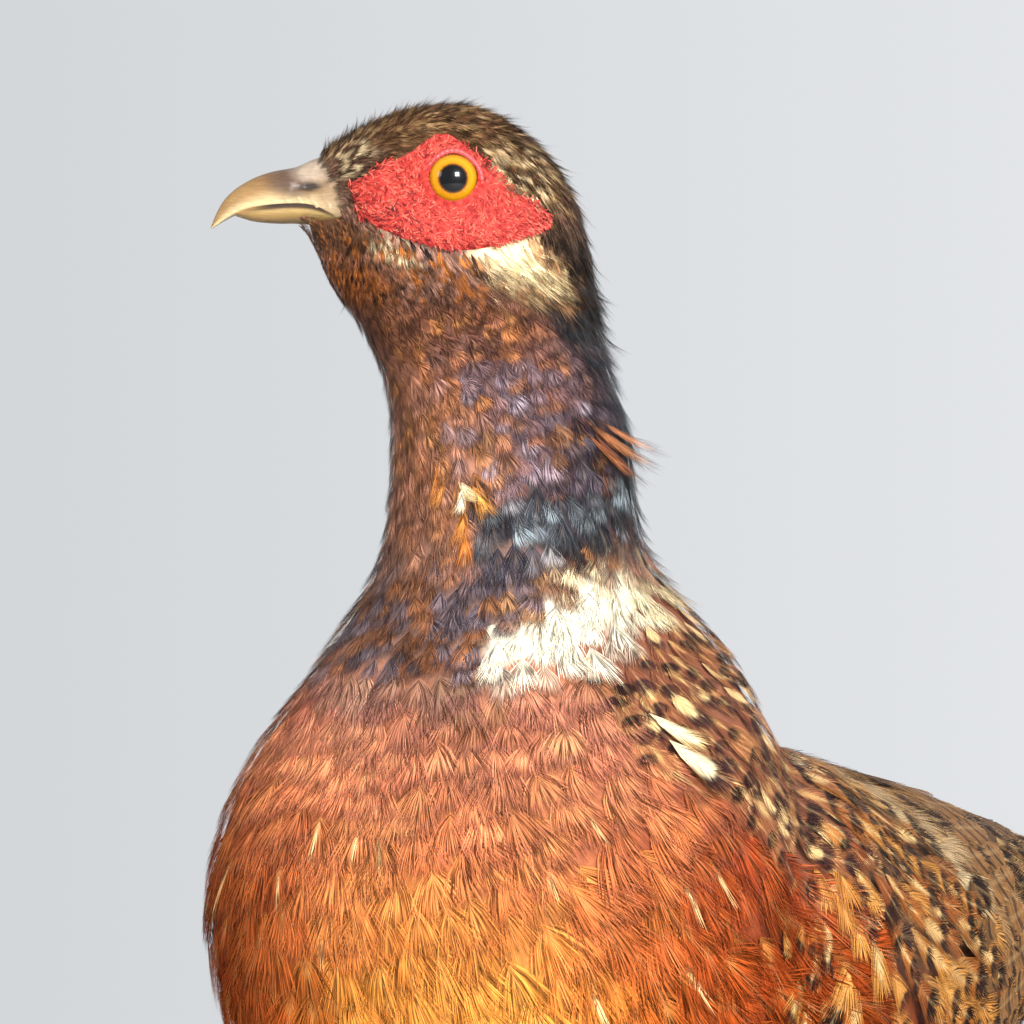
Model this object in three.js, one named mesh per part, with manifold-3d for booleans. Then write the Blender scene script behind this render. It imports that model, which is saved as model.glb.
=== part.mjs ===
// A mounted cock pheasant on a hardwood plinth, life size, in millimetres.
// The bird faces -Y with its tail to +Y and its left side to +X, and looks to its right.
// The origin is the middle of the underside of the plinth. The body is one feathered form
// from the bill to the tail, parted by thin cuts into the pieces a person would name.

import * as THREE from 'three';
import { mergeVertices } from 'three/addons/utils/BufferGeometryUtils.js';
import Module from 'manifold-3d';

const wasm = await Module();
wasm.setup();

// Clearance left between two pieces that touch on the real mount.
const GAP = 0.3;

// The plinth.
const PLINTH_LENGTH = 300;
const PLINTH_WIDTH = 180;
const PLINTH_HEIGHT = 22;
const PLINTH_CORNER = 16;
const PLINTH_MOULDING = [[0, 1.5], [1.5, 0], [12, 0], [13.5, 3], [17, 4], [20.5, 7], [22, 10]];

// Where the axis of the neck stands on the plinth, from the middle, towards the tail.
const NECK_Y = -80;

// Sections of the feathered body, from the tail to the bill. Each is an oval whose plane
// holds one point of the mid line of the back and one of the belly: [forward of the axis
// of the neck, up]. half is its half width, level lifts its widest place towards the back
// by that part of its half height, and turn is the twist of the neck in degrees.
const SECTIONS = {
  covert_tips: { back: [-266, 224.5], belly: [-266, 208], half: 28, level: 0, turn: 0 },
  coverts: { back: [-236, 234.5], belly: [-234, 202], half: 34, level: 0, turn: 0 },
  vent: { back: [-205, 244], belly: [-198, 191], half: 40, level: 0, turn: 0 },
  rump: { back: [-172, 253], belly: [-160, 174], half: 47, level: 0, turn: 0 },
  saddle: { back: [-136, 261.5], belly: [-120, 161], half: 54, level: 0, turn: 0 },
  back: { back: [-98, 270], belly: [-78, 153], half: 59, level: 0, turn: 0 },
  shoulders: { back: [-64, 280.5], belly: [-34, 151], half: 63, level: 0, turn: 0 },
  mantle: { back: [-43, 292], belly: [10, 160], half: 64.6, level: 0.05, turn: 0 },
  keel: { back: [-34, 301.5], belly: [42, 180], half: 65.3, level: 0.04, turn: 0 },
  breast: { back: [-31.5, 308.5], belly: [62.5, 210], half: 62.8, level: 0, turn: 0 },
  crop: { back: [-30, 316], belly: [67, 244], half: 51, level: -0.1, turn: 2 },
  neck_root: { back: [-29, 323], belly: [47.5, 282], half: 35.8, level: -0.15, turn: 8 },
  collar: { back: [-27.5, 331], belly: [30, 312], half: 28, level: -0.05, turn: 18 },
  mid_neck: { back: [-26, 341], belly: [27, 334], half: 26, level: 0, turn: 32 },
  upper_neck: { back: [-22.5, 355], belly: [28, 353], half: 24, level: 0, turn: 46 },
  throat: { back: [-18.6, 370], belly: [33.5, 366], half: 21, level: 0, turn: 56 },
  cheek: { back: [-16.8, 383], belly: [40, 376], half: 17.8, level: 0, turn: 60 },
  ear: { back: [-13.5, 395], belly: [43, 383], half: 15.8, level: 0, turn: 60 },
  eye: { back: [-5, 407.5], belly: [45, 386.8], half: 14, level: 0, turn: 60 },
  brow: { back: [9, 415.3], belly: [46.2, 388.2], half: 11.9, level: 0, turn: 60 },
  forehead: { back: [25, 414], belly: [47, 388.7], half: 9.9, level: 0, turn: 60 },
  lores: { back: [36, 409], belly: [47.4, 389], half: 8.2, level: 0, turn: 60 },
  bill_root: { back: [43.2, 404.4], belly: [47.6, 389.2], half: 7, level: 0, turn: 60 },
};
const OVAL_POINTS = 20;
const OVAL_POWER = 2.15;

// The level of a section is drawn along its curve in this unit, to weigh like the widths.
const LEVEL_UNIT = 40;

// The turned head: bill and eyes, in its own plane [forward, up].
const HEAD_TURN = 60;
const CULMEN = [
  [43.5, 403.6], [47.5, 401.9], [52.5, 400.9], [57.5, 399.1], [62, 396], [64.8, 392.4], [66.4, 388.7],
];
const UPPER_EDGE = [
  [37, 391.4], [42, 393.2], [48.5, 393.4], [55, 392.8], [60.2, 391.5], [63.6, 390], [66.1, 388.5],
];
const LOWER_TOP = [[35.2, 389.8], [40.4, 392.2], [46, 393], [51.5, 392.8], [56.6, 392.2], [60.8, 391.3]];
const LOWER_EDGE = [[35.2, 388], [40, 389], [46, 389.6], [51, 389.6], [55.8, 389.9], [60.6, 391]];
const BILL_SEAT = [
  [43.3, 404.5], [35, 390.4], [34.5, 387.5], [40, 388.4], [46, 389], [54, 389], [70, 380], [70, 420],
  [46, 420],
];
const BILL_SEAT_WIDTH = 40;
const BILL_HALF_WIDTH = 7.2;
const EYE_CENTRE = [12.8, 398.4];
const EYE_RADIUS = 6.6;
const EYE_OUT = 10.4;
const WATTLE_OUTLINE = [
  [38.6, 397], [30, 401.5], [22, 404.5], [15.5, 408.6], [9.5, 405], [3, 398], [-7.5, 390], [-1, 386],
  [10, 383.5], [20, 385], [27, 387.4], [35, 391],
];
const WATTLE_THICKNESS = 1.2;
const WATTLE_FROM = 4;
const WATTLE_TO = 26;

// The folded wing, as a shell over the flank: how far back, and the angles of its upper
// and lower edge from the mid line of the back, at even steps from the wrist to the tip.
const WING_FROM = 'mantle';
const WING_TO = 'coverts';
const WING_TOP = [50, 31, 20, 15, 13, 13, 16, 34];
const WING_BOTTOM = [92, 116, 121, 117, 109, 98, 84, 56];
const WING_THICKNESS = 8;
const WING_EDGE = 0.9;
const WING_SEAT = 1.6;

// The tail: nine feathers a side, the middle pair longest, stacked like a closed fan.
const TAIL_ROOT = -266.6;
const TAIL_TOP = 221.5;
const TAIL_DROOP = 12;
const TAIL_SAG = 9;
const TAIL_ROOF = 20;
const TAIL_MIDDLE_ROOF = 8;
const TAIL_LENGTHS = [415, 372, 325, 278, 232, 188, 150, 118, 92];
const TAIL_FEATHER_HALF = 15.5;
const TAIL_SPLAY = 0.55;
const TAIL_STEP = 0.85;
const TAIL_SHAFT = 1.3;
const TAIL_EDGE = 0.6;
const TAIL_ROW = 95;
const TAIL_MIDDLE_ROW = 52;

// The legs.
const LEG_X = 34;
const HOCK = [35, 18, 96];
const ANKLE = [34, -4, 31];
const THIGH_TOP = [33, -30, 190];
const TOES = [
  { name: 'inner', length: 33, angle: 24, claw: 10 },
  { name: 'middle', length: 47, angle: -3, claw: 11 },
  { name: 'outer', length: 35, angle: -30, claw: 10 },
  { name: 'hind', length: 13, angle: 163, claw: 8 },
];
const TOE_RADIUS = 3.7;
const SPUR_LENGTH = 13;

const names = Object.keys(SECTIONS);

// Curves through rows of numbers, in space and in a plane.
function spaceCurve(rows) {
  const points = rows.map((row) => new THREE.Vector3(row[0], row[1], row[2]));
  return new THREE.CatmullRomCurve3(points, false, 'centripetal');
}

function flatCurve(rows) {
  return new THREE.SplineCurve(rows.map((row) => new THREE.Vector2(row[0], row[1])));
}

const sectionCurve = (pick) => spaceCurve(names.map((name) => pick(SECTIONS[name])));
const backLine = sectionCurve((section) => [section.back[0], section.back[1], 0]);
const bellyLine = sectionCurve((section) => [section.belly[0], section.belly[1], 0]);
const shapeLine = sectionCurve((section) => [section.half, LEVEL_UNIT * section.level, section.turn]);

// A point in the plane of the neck or head, turned with it and set on the plinth.
function place(forward, up, left, turn) {
  const angle = THREE.MathUtils.degToRad(turn);
  const x = -forward * Math.sin(angle) + left * Math.cos(angle);
  const y = NECK_Y - forward * Math.cos(angle) - left * Math.sin(angle);
  return new THREE.Vector3(x, y, up);
}

// The surface of the feathered body: station counts along the sections, angle runs from
// the mid line of the back over the bird's left side to the belly.
function bodyPoint(station, angle) {
  const t = THREE.MathUtils.clamp(station / (names.length - 1), 0, 1);
  const back = backLine.getPoint(t);
  const belly = bellyLine.getPoint(t);
  const shape = shapeLine.getPoint(t);
  const sine = Math.sin(angle);
  const cosine = Math.cos(angle);
  const across = Math.sign(sine) * Math.abs(sine) ** (2 / OVAL_POWER);
  const rise = Math.sign(cosine) * Math.abs(cosine) ** (2 / OVAL_POWER);
  const height = rise + (shape.y / LEVEL_UNIT) * sine * sine;
  const middle = back.clone().add(belly).multiplyScalar(0.5);
  const half = back.clone().sub(belly).multiplyScalar(0.5);
  return place(middle.x + half.x * height, middle.y + half.y * height, shape.x * across, shape.z);
}

// The same point lifted off the surface.
function liftedPoint(station, angle, lift) {
  const step = 0.05;
  const point = bodyPoint(station, angle);
  const along = bodyPoint(station + step, angle).sub(bodyPoint(station - step, angle));
  const around = bodyPoint(station, angle + step).sub(bodyPoint(station, angle - step));
  const normal = along.cross(around).normalize();
  return point.addScaledVector(normal, lift);
}

// A closed body through a row of closed rings with the same number of points.
function loft(rings) {
  const size = rings[0].length;
  const positions = rings.flat().flatMap((point) => [point.x, point.y, point.z]);
  const index = [];
  for (let row = 0; row + 1 < rings.length; row += 1) {
    for (let column = 0; column < size; column += 1) {
      const next = (column + 1) % size;
      const here = row * size;
      const above = here + size;
      index.push(here + column, here + next, above + next);
      index.push(here + column, above + next, above + column);
    }
  }
  for (const [row, flip] of [[0, true], [rings.length - 1, false]]) {
    const centre = new THREE.Vector3();
    rings[row].forEach((point) => centre.addScaledVector(point, 1 / size));
    const hub = positions.length / 3;
    positions.push(centre.x, centre.y, centre.z);
    for (let column = 0; column < size; column += 1) {
      const next = (column + 1) % size;
      const edge = flip ? [next, column] : [column, next];
      index.push(row * size + edge[0], row * size + edge[1], hub);
    }
  }
  const geometry = new THREE.BufferGeometry();
  geometry.setAttribute('position', new THREE.Float32BufferAttribute(positions, 3));
  geometry.setIndex(index);
  return volume(geometry) < 0 ? flipped(geometry) : geometry;
}

function volume(geometry) {
  const corner = geometry.getAttribute('position');
  const index = geometry.getIndex();
  let total = 0;
  for (let face = 0; face < index.count; face += 3) {
    const a = new THREE.Vector3().fromBufferAttribute(corner, index.getX(face));
    const b = new THREE.Vector3().fromBufferAttribute(corner, index.getX(face + 1));
    const c = new THREE.Vector3().fromBufferAttribute(corner, index.getX(face + 2));
    total += a.dot(b.cross(c)) / 6;
  }
  return total;
}

function flipped(geometry) {
  const index = Array.from(geometry.getIndex().array);
  for (let face = 0; face < index.length; face += 3) {
    [index[face], index[face + 1]] = [index[face + 1], index[face]];
  }
  geometry.setIndex(index);
  return geometry;
}

function solidOf(geometry) {
  const bare = geometry.clone();
  bare.deleteAttribute('normal');
  bare.deleteAttribute('uv');
  const merged = mergeVertices(bare, 1e-4);
  const vertProperties = new Float32Array(merged.getAttribute('position').array);
  const triVerts = new Uint32Array(merged.getIndex().array);
  return new wasm.Manifold(new wasm.Mesh({ numProp: 3, vertProperties, triVerts }));
}

function geometryOf(solid) {
  const mesh = solid.getMesh();
  const geometry = new THREE.BufferGeometry();
  geometry.setAttribute('position', new THREE.BufferAttribute(new Float32Array(mesh.vertProperties), 3));
  geometry.setIndex(new THREE.BufferAttribute(new Uint32Array(mesh.triVerts), 1));
  return geometry;
}

// The lengths that the feathered body is parted into: from a section to a section, and how
// many rings each one of them takes.
const LENGTHS = {
  tail_coverts: ['covert_tips', 'vent', 2],
  trunk: ['vent', 'crop', 1.8],
  neck: ['crop', 'throat', 2.2],
  head: ['throat', 'bill_root', 2],
};
const HALF_CUT = 0.006;

// The rings of one length of the feathered body, swollen by an allowance.
function bodyRings(name, swell) {
  const [first, last, perStation] = LENGTHS[name];
  const from = names.indexOf(first) + (first === names[0] ? 0 : HALF_CUT);
  const to = names.indexOf(last) - (last === names.at(-1) ? 0 : HALF_CUT);
  const count = Math.round((to - from) * perStation);
  const rings = [];
  for (let row = 0; row <= count; row += 1) {
    const station = from + ((to - from) * row) / count;
    const ring = [];
    for (let column = 0; column < OVAL_POINTS; column += 1) {
      const angle = (2 * Math.PI * column) / OVAL_POINTS;
      ring.push(liftedPoint(station, angle, swell));
    }
    rings.push(ring);
  }
  return rings;
}

// A round tapering limb through points of [x, y, z, radius across, radius along].
function limb(points, sides, perSpan, floor) {
  const path = spaceCurve(points);
  const radii = spaceCurve(points.map((point) => [point[3], point[4], 0]));
  const count = perSpan * (points.length - 1);
  const rings = [];
  for (let row = 0; row <= count; row += 1) {
    const t = row / count;
    const centre = path.getPoint(t);
    const radius = radii.getPoint(t);
    const tangent = path.getTangent(t);
    const across = new THREE.Vector3(1, 0, 0).addScaledVector(tangent, -tangent.x);
    if (across.lengthSq() < 0.2) {
      across.set(0, 0, 1).addScaledVector(tangent, -tangent.z);
    }
    across.normalize();
    const along = tangent.clone().cross(across);
    const ring = [];
    for (let side = 0; side < sides; side += 1) {
      const angle = (2 * Math.PI * side) / sides;
      const point = centre.clone();
      point.addScaledVector(across, radius.x * Math.cos(angle));
      point.addScaledVector(along, radius.y * Math.sin(angle));
      point.z = Math.max(point.z, floor);
      ring.push(point);
    }
    rings.push(ring);
  }
  return loft(rings);
}

const part = new THREE.Group();

function add(name, geometry, colour, roughness) {
  const plain = geometryOf(solidOf(geometry));
  plain.computeVertexNormals();
  const mesh = new THREE.Mesh(plain, new THREE.MeshStandardMaterial({ color: colour, roughness }));
  mesh.name = name;
  part.add(mesh);
}

// Mirrored to the bird's right where side is -1.
function sided(geometry, side) {
  if (side > 0) {
    return geometry;
  }
  const copy = geometry.clone().applyMatrix4(new THREE.Matrix4().makeScale(-1, 1, 1));
  return flipped(copy);
}

const SIDES = [['left', 1], ['right', -1]];

function plinth() {
  const rings = PLINTH_MOULDING.map(([height, inset]) => {
    const ring = [];
    const corner = PLINTH_CORNER - inset;
    for (let quarter = 0; quarter < 4; quarter += 1) {
      for (let step = 0; step <= 4; step += 1) {
        const angle = ((quarter + step / 4) * Math.PI) / 2;
        const signX = quarter === 0 || quarter === 3 ? 1 : -1;
        const signY = quarter < 2 ? 1 : -1;
        const x = signX * (PLINTH_WIDTH / 2 - PLINTH_CORNER) + corner * Math.cos(angle);
        const y = signY * (PLINTH_LENGTH / 2 - PLINTH_CORNER) + corner * Math.sin(angle);
        ring.push(new THREE.Vector3(x, y, height));
      }
    }
    return ring;
  });
  add('stand_plinth', loft(rings), 0x4a2a18, 0.35);
}

// The rear of the body, its trunk, neck and head. The head has a seat for the bill and a
// socket for each eye.
function body() {
  add('tail_coverts', loft(bodyRings('tail_coverts', 0)), 0x8a6a45, 0.8);
  add('trunk', loft(bodyRings('trunk', 0)), 0xa2593a, 0.8);
  add('neck', loft(bodyRings('neck', 0)), 0x4b3a40, 0.8);
  let head = solidOf(loft(bodyRings('head', 0)));
  head = head.subtract(solidOf(headPrism(BILL_SEAT, -BILL_SEAT_WIDTH / 2, BILL_SEAT_WIDTH / 2)));
  SIDES.forEach(([, side]) => {
    head = head.subtract(solidOf(eyeball(side, GAP)));
  });
  add('head', geometryOf(head), 0x5a4632, 0.8);
}

function eyeball(side, swell) {
  const geometry = new THREE.SphereGeometry(EYE_RADIUS + swell, 12, 8);
  const centre = place(EYE_CENTRE[0], EYE_CENTRE[1], side * EYE_OUT, HEAD_TURN);
  geometry.translate(centre.x, centre.y, centre.z);
  return geometry;
}

// A prism across the head over an outline [forward, up], between two distances to its left.
function headPrism(outline, from, to) {
  const shape = new THREE.Shape(outline.map((point) => new THREE.Vector2(point[0], point[1])));
  const prism = new THREE.ExtrudeGeometry(shape, { depth: 1, bevelEnabled: false });
  prism.deleteAttribute('normal');
  prism.deleteAttribute('uv');
  const merged = mergeVertices(prism, 1e-4);
  const corner = merged.getAttribute('position');
  for (let k = 0; k < corner.count; k += 1) {
    const left = from + (to - from) * corner.getZ(k);
    const point = place(corner.getX(k), corner.getY(k), left, HEAD_TURN);
    corner.setXYZ(k, point.x, point.y, point.z);
  }
  return volume(merged) < 0 ? flipped(merged) : merged;
}

// Bare red skin round each eye, on the side of the head.
function wattle(side) {
  const curve = flatCurve([...WATTLE_OUTLINE, WATTLE_OUTLINE[0]]);
  const outline = curve.getPoints(24).slice(0, -1).map((point) => [point.x, point.y]);
  const block = solidOf(headPrism(outline, side * WATTLE_FROM, side * WATTLE_TO));
  const skin = solidOf(loft(bodyRings('head', WATTLE_THICKNESS + GAP)));
  const under = solidOf(loft(bodyRings('head', GAP)));
  return geometryOf(skin.intersect(block).subtract(under).subtract(solidOf(eyeball(side, GAP))));
}

// One jaw of the bill: rings between an upper and a lower edge, narrowing to the tip.
function jaw(upper, lower, width, square) {
  const points = 10;
  const steps = 10;
  const top = flatCurve(upper);
  const bottom = flatCurve(lower);
  const rings = [];
  for (let row = 0; row <= steps; row += 1) {
    const t = row / steps;
    const a = top.getPoint(t);
    const b = bottom.getPoint(t);
    const half = width * Math.sqrt(Math.max(0.004, 1 - t ** 1.35));
    const ring = [];
    for (let column = 0; column < points; column += 1) {
      const angle = (2 * Math.PI * (column + 0.5)) / points;
      const rise = 0.5 + 0.5 * Math.cos(angle);
      const across = half * Math.sign(Math.sin(angle)) * Math.abs(Math.sin(angle)) ** square(rise);
      ring.push(place(b.x + (a.x - b.x) * rise, b.y + (a.y - b.y) * rise, across, HEAD_TURN));
    }
    rings.push(ring);
  }
  return loft(rings);
}

// The folded wing: rings run down the outside of the shell and back up inside the flank,
// and the body is cut away from it, so that it lies on the feathers of the back and side.
function wing(side) {
  const steps = 12;
  const columns = 5;
  const from = names.indexOf(WING_FROM);
  const to = names.indexOf(WING_TO);
  const topEdge = flatCurve(WING_TOP.map((angle, k) => [k, angle]));
  const bottomEdge = flatCurve(WING_BOTTOM.map((angle, k) => [k, angle]));
  const rings = [];
  for (let row = 0; row <= steps; row += 1) {
    const u = row / steps;
    const station = from + (to - from) * u;
    const top = THREE.MathUtils.degToRad(topEdge.getPoint(u).y);
    const bottom = THREE.MathUtils.degToRad(bottomEdge.getPoint(u).y);
    const fullness = Math.sin(Math.PI * Math.min(0.5, u * 3 + 0.02)) * (1 - 0.55 * u);
    const outer = [];
    const inner = [];
    for (let column = 0; column <= columns; column += 1) {
      const v = column / columns;
      const angle = top + (bottom - top) * v;
      const crown = Math.sqrt(Math.sin(Math.PI * THREE.MathUtils.clamp(v, 0.03, 0.97)));
      outer.push(liftedPoint(station, angle, GAP + WING_EDGE + WING_THICKNESS * fullness * crown));
      inner.unshift(liftedPoint(station, angle, -WING_SEAT));
    }
    rings.push([...outer, ...inner]);
  }
  const under = loft([...bodyRings('tail_coverts', GAP), ...bodyRings('trunk', GAP)]);
  return geometryOf(solidOf(sided(loft(rings), side)).subtract(solidOf(under)));
}

// One tail feather: a long flat plate, pointed at its end, splayed to the left and lying
// on the slope of the roof that the whole tail makes. The middle pair lies flatter, across
// the top.
function tailFeather(order) {
  const length = TAIL_LENGTHS[order];
  const rows = Math.max(3, Math.round(length / (order ? TAIL_ROW : TAIL_MIDDLE_ROW)));
  const splay = Math.tan(THREE.MathUtils.degToRad(TAIL_SPLAY * order));
  const droop = Math.tan(THREE.MathUtils.degToRad(TAIL_DROOP));
  const roof = Math.tan(THREE.MathUtils.degToRad(order ? TAIL_ROOF : TAIL_MIDDLE_ROOF));
  const drop = order ? TAIL_STEP * order + TAIL_SHAFT - TAIL_STEP + GAP : 0;
  const rings = [];
  for (let row = 0; row <= rows; row += 1) {
    const t = row / rows;
    const run = length * t;
    const middle = order ? 1.2 * order + 2 + run * splay : 0;
    const half = TAIL_FEATHER_HALF * Math.max(0.06, (1 - 0.45 * t) * Math.sqrt(1 - t ** 4));
    const ring = [];
    for (const [out, up] of [[-1, 0.5], [0, 0.5], [1, 0.5], [1, -0.5], [0, -0.5], [-1, -0.5]]) {
      const thick = out ? TAIL_EDGE : TAIL_SHAFT;
      const x = order ? Math.max(GAP / 2, middle + half * out) : half * out;
      const sag = TAIL_SAG * (run / TAIL_LENGTHS[0]) ** 2;
      const z = TAIL_TOP - run * droop - sag - Math.abs(x) * roof - drop + thick * up;
      ring.push(new THREE.Vector3(x, NECK_Y - TAIL_ROOT + run, z));
    }
    rings.push(ring);
  }
  return loft(rings);
}

// The eight feathers of one side, under the middle pair.
function tailHalf() {
  let fan = solidOf(tailFeather(1));
  for (let order = 2; order < TAIL_LENGTHS.length; order += 1) {
    fan = fan.add(solidOf(tailFeather(order)));
  }
  return geometryOf(fan);
}

// The feathered thigh hangs from the belly, and the shank comes out of its end.
function thigh(side) {
  const [hx, hy, hz] = HOCK;
  const [tx, ty, tz] = THIGH_TOP;
  const cone = sided(limb([
    [tx, ty, tz, 20, 34],
    [tx + 1, ty + 10, tz - 30, 21, 31],
    [(tx + hx) / 2, (ty + hy) / 2 + 6, (tz + hz) / 2 - 10, 15, 19],
    [hx, hy - 6, hz + 14, 8.5, 9.5],
    [hx, hy - 1, hz + 3, 6.6, 7.4],
  ], 12, 2, 0), side);
  const trunk = solidOf(loft(bodyRings('trunk', GAP)));
  const rest = solidOf(cone).subtract(trunk).subtract(solidOf(sided(shank(GAP), side)));
  const pieces = rest.decompose().sort((a, b) => b.volume() - a.volume());
  return geometryOf(pieces[0]);
}

function shank(swell) {
  const [hx, hy, hz] = HOCK;
  const [ax, ay, az] = ANKLE;
  return limb([
    [hx, hy - 3, hz + 9 + swell, 4.4 + swell, 5 + swell],
    [hx, hy, hz - 2, 5.2 + swell, 6.8 + swell],
    [(2 * hx + ax) / 3, (2 * hy + ay) / 3, (2 * hz + az) / 3, 3.7 + swell, 5.1 + swell],
    [(hx + 2 * ax) / 3, (hy + 2 * ay) / 3, (hz + 2 * az) / 3, 3.6 + swell, 4.8 + swell],
    [ax, ay + 1.5, az + 5, 4.4 + swell, 5 + swell],
    [ax, ay, az + GAP, 4.8 + swell, 4.8 + swell],
  ], 10, 2, 0);
}

// The spur grows from the inner back of the shank, a third of the way up.
function spur(side) {
  const x = LEG_X - 1.6;
  const y = 5;
  const z = 48;
  const horn = sided(limb([
    [x, y, z, 3, 3],
    [x - 1.4, y + 2.6 + SPUR_LENGTH * 0.5, z + 0.6, 2, 2],
    [x - 2.4, y + 2.6 + SPUR_LENGTH, z + 3.4, 0.45, 0.45],
  ], 8, 2, 0), side);
  return geometryOf(solidOf(horn).subtract(solidOf(sided(shank(GAP), side))));
}

// Where a toe ends and its claw begins, and the way it points.
function toePoint(toe, distance, height) {
  const angle = THREE.MathUtils.degToRad(toe.angle);
  const x = ANKLE[0] - Math.sin(angle) * distance;
  const y = ANKLE[1] - 2 - Math.cos(angle) * distance;
  return [x, y, PLINTH_HEIGHT + GAP + height];
}

function foot() {
  const floor = PLINTH_HEIGHT + GAP;
  const [ax, ay, az] = ANKLE;
  let whole = solidOf(limb([
    [ax, ay, az, 4.8, 4.8],
    [ax, ay - 1, floor + 5, 5.2, 5.4],
    [ax, ay - 2, floor, 5, 5.6],
  ], 10, 1, floor));
  TOES.forEach((toe) => {
    const points = [0, 0.5, 1].map((t) => {
      const radius = TOE_RADIUS * (1 - 0.34 * t);
      const height = toe.name === 'hind' ? 4.6 - 1.6 * t : radius * 0.82;
      return [...toePoint(toe, toe.length * t, height), radius, radius * 0.9];
    });
    whole = whole.add(solidOf(limb(points, 6, 2, floor)));
  });
  return geometryOf(whole);
}

function claw(toe) {
  const base = toe.name === 'hind' ? 3 : 2.4;
  return limb([
    [...toePoint(toe, toe.length + 2 * GAP, base), 1.9, 1.9],
    [...toePoint(toe, toe.length + 0.55 * toe.claw, base + 0.5), 1.3, 1.3],
    [...toePoint(toe, toe.length + toe.claw, 0.5), 0.4, 0.4],
  ], 6, 2, PLINTH_HEIGHT + GAP);
}

plinth();
body();
SIDES.forEach(([name, side]) => {
  add(`eye_${name}`, eyeball(side, 0), 0xe0a01c, 0.05);
  add(`wattle_${name}`, wattle(side), 0xd8443f, 0.7);
});
const upperJaw = jaw(CULMEN, UPPER_EDGE, BILL_HALF_WIDTH, (rise) => 0.55 + 0.75 * rise);
const lowerJaw = jaw(LOWER_TOP, LOWER_EDGE, BILL_HALF_WIDTH - 1, (rise) => 1.2 - 0.6 * rise);
add('bill_upper', upperJaw, 0xc9a66b, 0.35);
add('bill_lower', lowerJaw, 0xc49a50, 0.35);
SIDES.forEach(([name, side]) => {
  add(`wing_${name}`, wing(side), 0x7a5638, 0.8);
});
add('tail_middle', tailFeather(0), 0x9a7a52, 0.8);
SIDES.forEach(([name, side]) => {
  add(`tail_${name}`, sided(tailHalf(), side), 0x8a6a45, 0.8);
  add(`thigh_${name}`, thigh(side), 0x6a4a34, 0.8);
  add(`shank_${name}`, sided(shank(0), side), 0x8a8378, 0.5);
  add(`foot_${name}`, sided(foot(), side), 0x8a8378, 0.5);
  add(`spur_${name}`, spur(side), 0x4a4038, 0.4);
  TOES.forEach((toe) => {
    add(`claw_${toe.name}_${name}`, sided(claw(toe), side), 0x3a322c, 0.4);
  });
});

export default part;
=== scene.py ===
"""The looks of a mounted cock pheasant on a hardwood plinth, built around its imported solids.

Lengths in the sections below are in millimetres and turn to metres as each mesh is made.
"""

import math

import bpy
import numpy as np
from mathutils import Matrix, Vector
from mathutils.kdtree import KDTree


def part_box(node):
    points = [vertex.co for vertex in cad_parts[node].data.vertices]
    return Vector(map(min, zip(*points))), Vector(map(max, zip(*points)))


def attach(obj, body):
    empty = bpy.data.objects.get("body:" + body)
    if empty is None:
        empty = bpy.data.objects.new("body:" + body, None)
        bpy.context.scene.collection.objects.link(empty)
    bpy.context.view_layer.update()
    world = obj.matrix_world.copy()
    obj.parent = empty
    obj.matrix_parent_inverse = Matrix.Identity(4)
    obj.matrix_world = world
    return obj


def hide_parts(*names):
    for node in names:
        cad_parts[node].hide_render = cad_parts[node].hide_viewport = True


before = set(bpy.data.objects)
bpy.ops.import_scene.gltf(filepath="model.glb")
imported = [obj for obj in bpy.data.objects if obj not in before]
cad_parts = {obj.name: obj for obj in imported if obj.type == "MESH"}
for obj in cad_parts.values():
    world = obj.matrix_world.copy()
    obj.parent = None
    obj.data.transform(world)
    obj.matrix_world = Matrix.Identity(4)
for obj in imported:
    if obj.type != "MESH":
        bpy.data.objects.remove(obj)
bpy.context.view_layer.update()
MM = 0.001


# ---- Camera -------------------------------------------------------------------------
# A long lens, level with the neck, a little to the left of the bird's breast. Only the
# head, neck and forepart of the body are in the picture.
CAMERA_AIM = Vector((0.0, -0.080, 0.326))
CAMERA_DISTANCE = 1.2
CAMERA_AZIMUTH = math.radians(30)
FIELD_WIDTH = 0.22528
SENSOR_WIDTH = 36.0
FAR_ENOUGH = 20.0

camera_data = bpy.data.cameras.new("camera")
camera = bpy.data.objects.new("camera", camera_data)
bpy.context.scene.collection.objects.link(camera)
outward = Vector((math.sin(CAMERA_AZIMUTH), -math.cos(CAMERA_AZIMUTH), 0.0))
camera.location = CAMERA_AIM + outward * CAMERA_DISTANCE
camera.rotation_euler = (-outward).to_track_quat("-Z", "Y").to_euler()
camera_data.sensor_width = SENSOR_WIDTH
camera_data.lens = SENSOR_WIDTH * CAMERA_DISTANCE / FIELD_WIDTH
camera_data.clip_end = FAR_ENOUGH
bpy.context.scene.camera = camera


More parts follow.
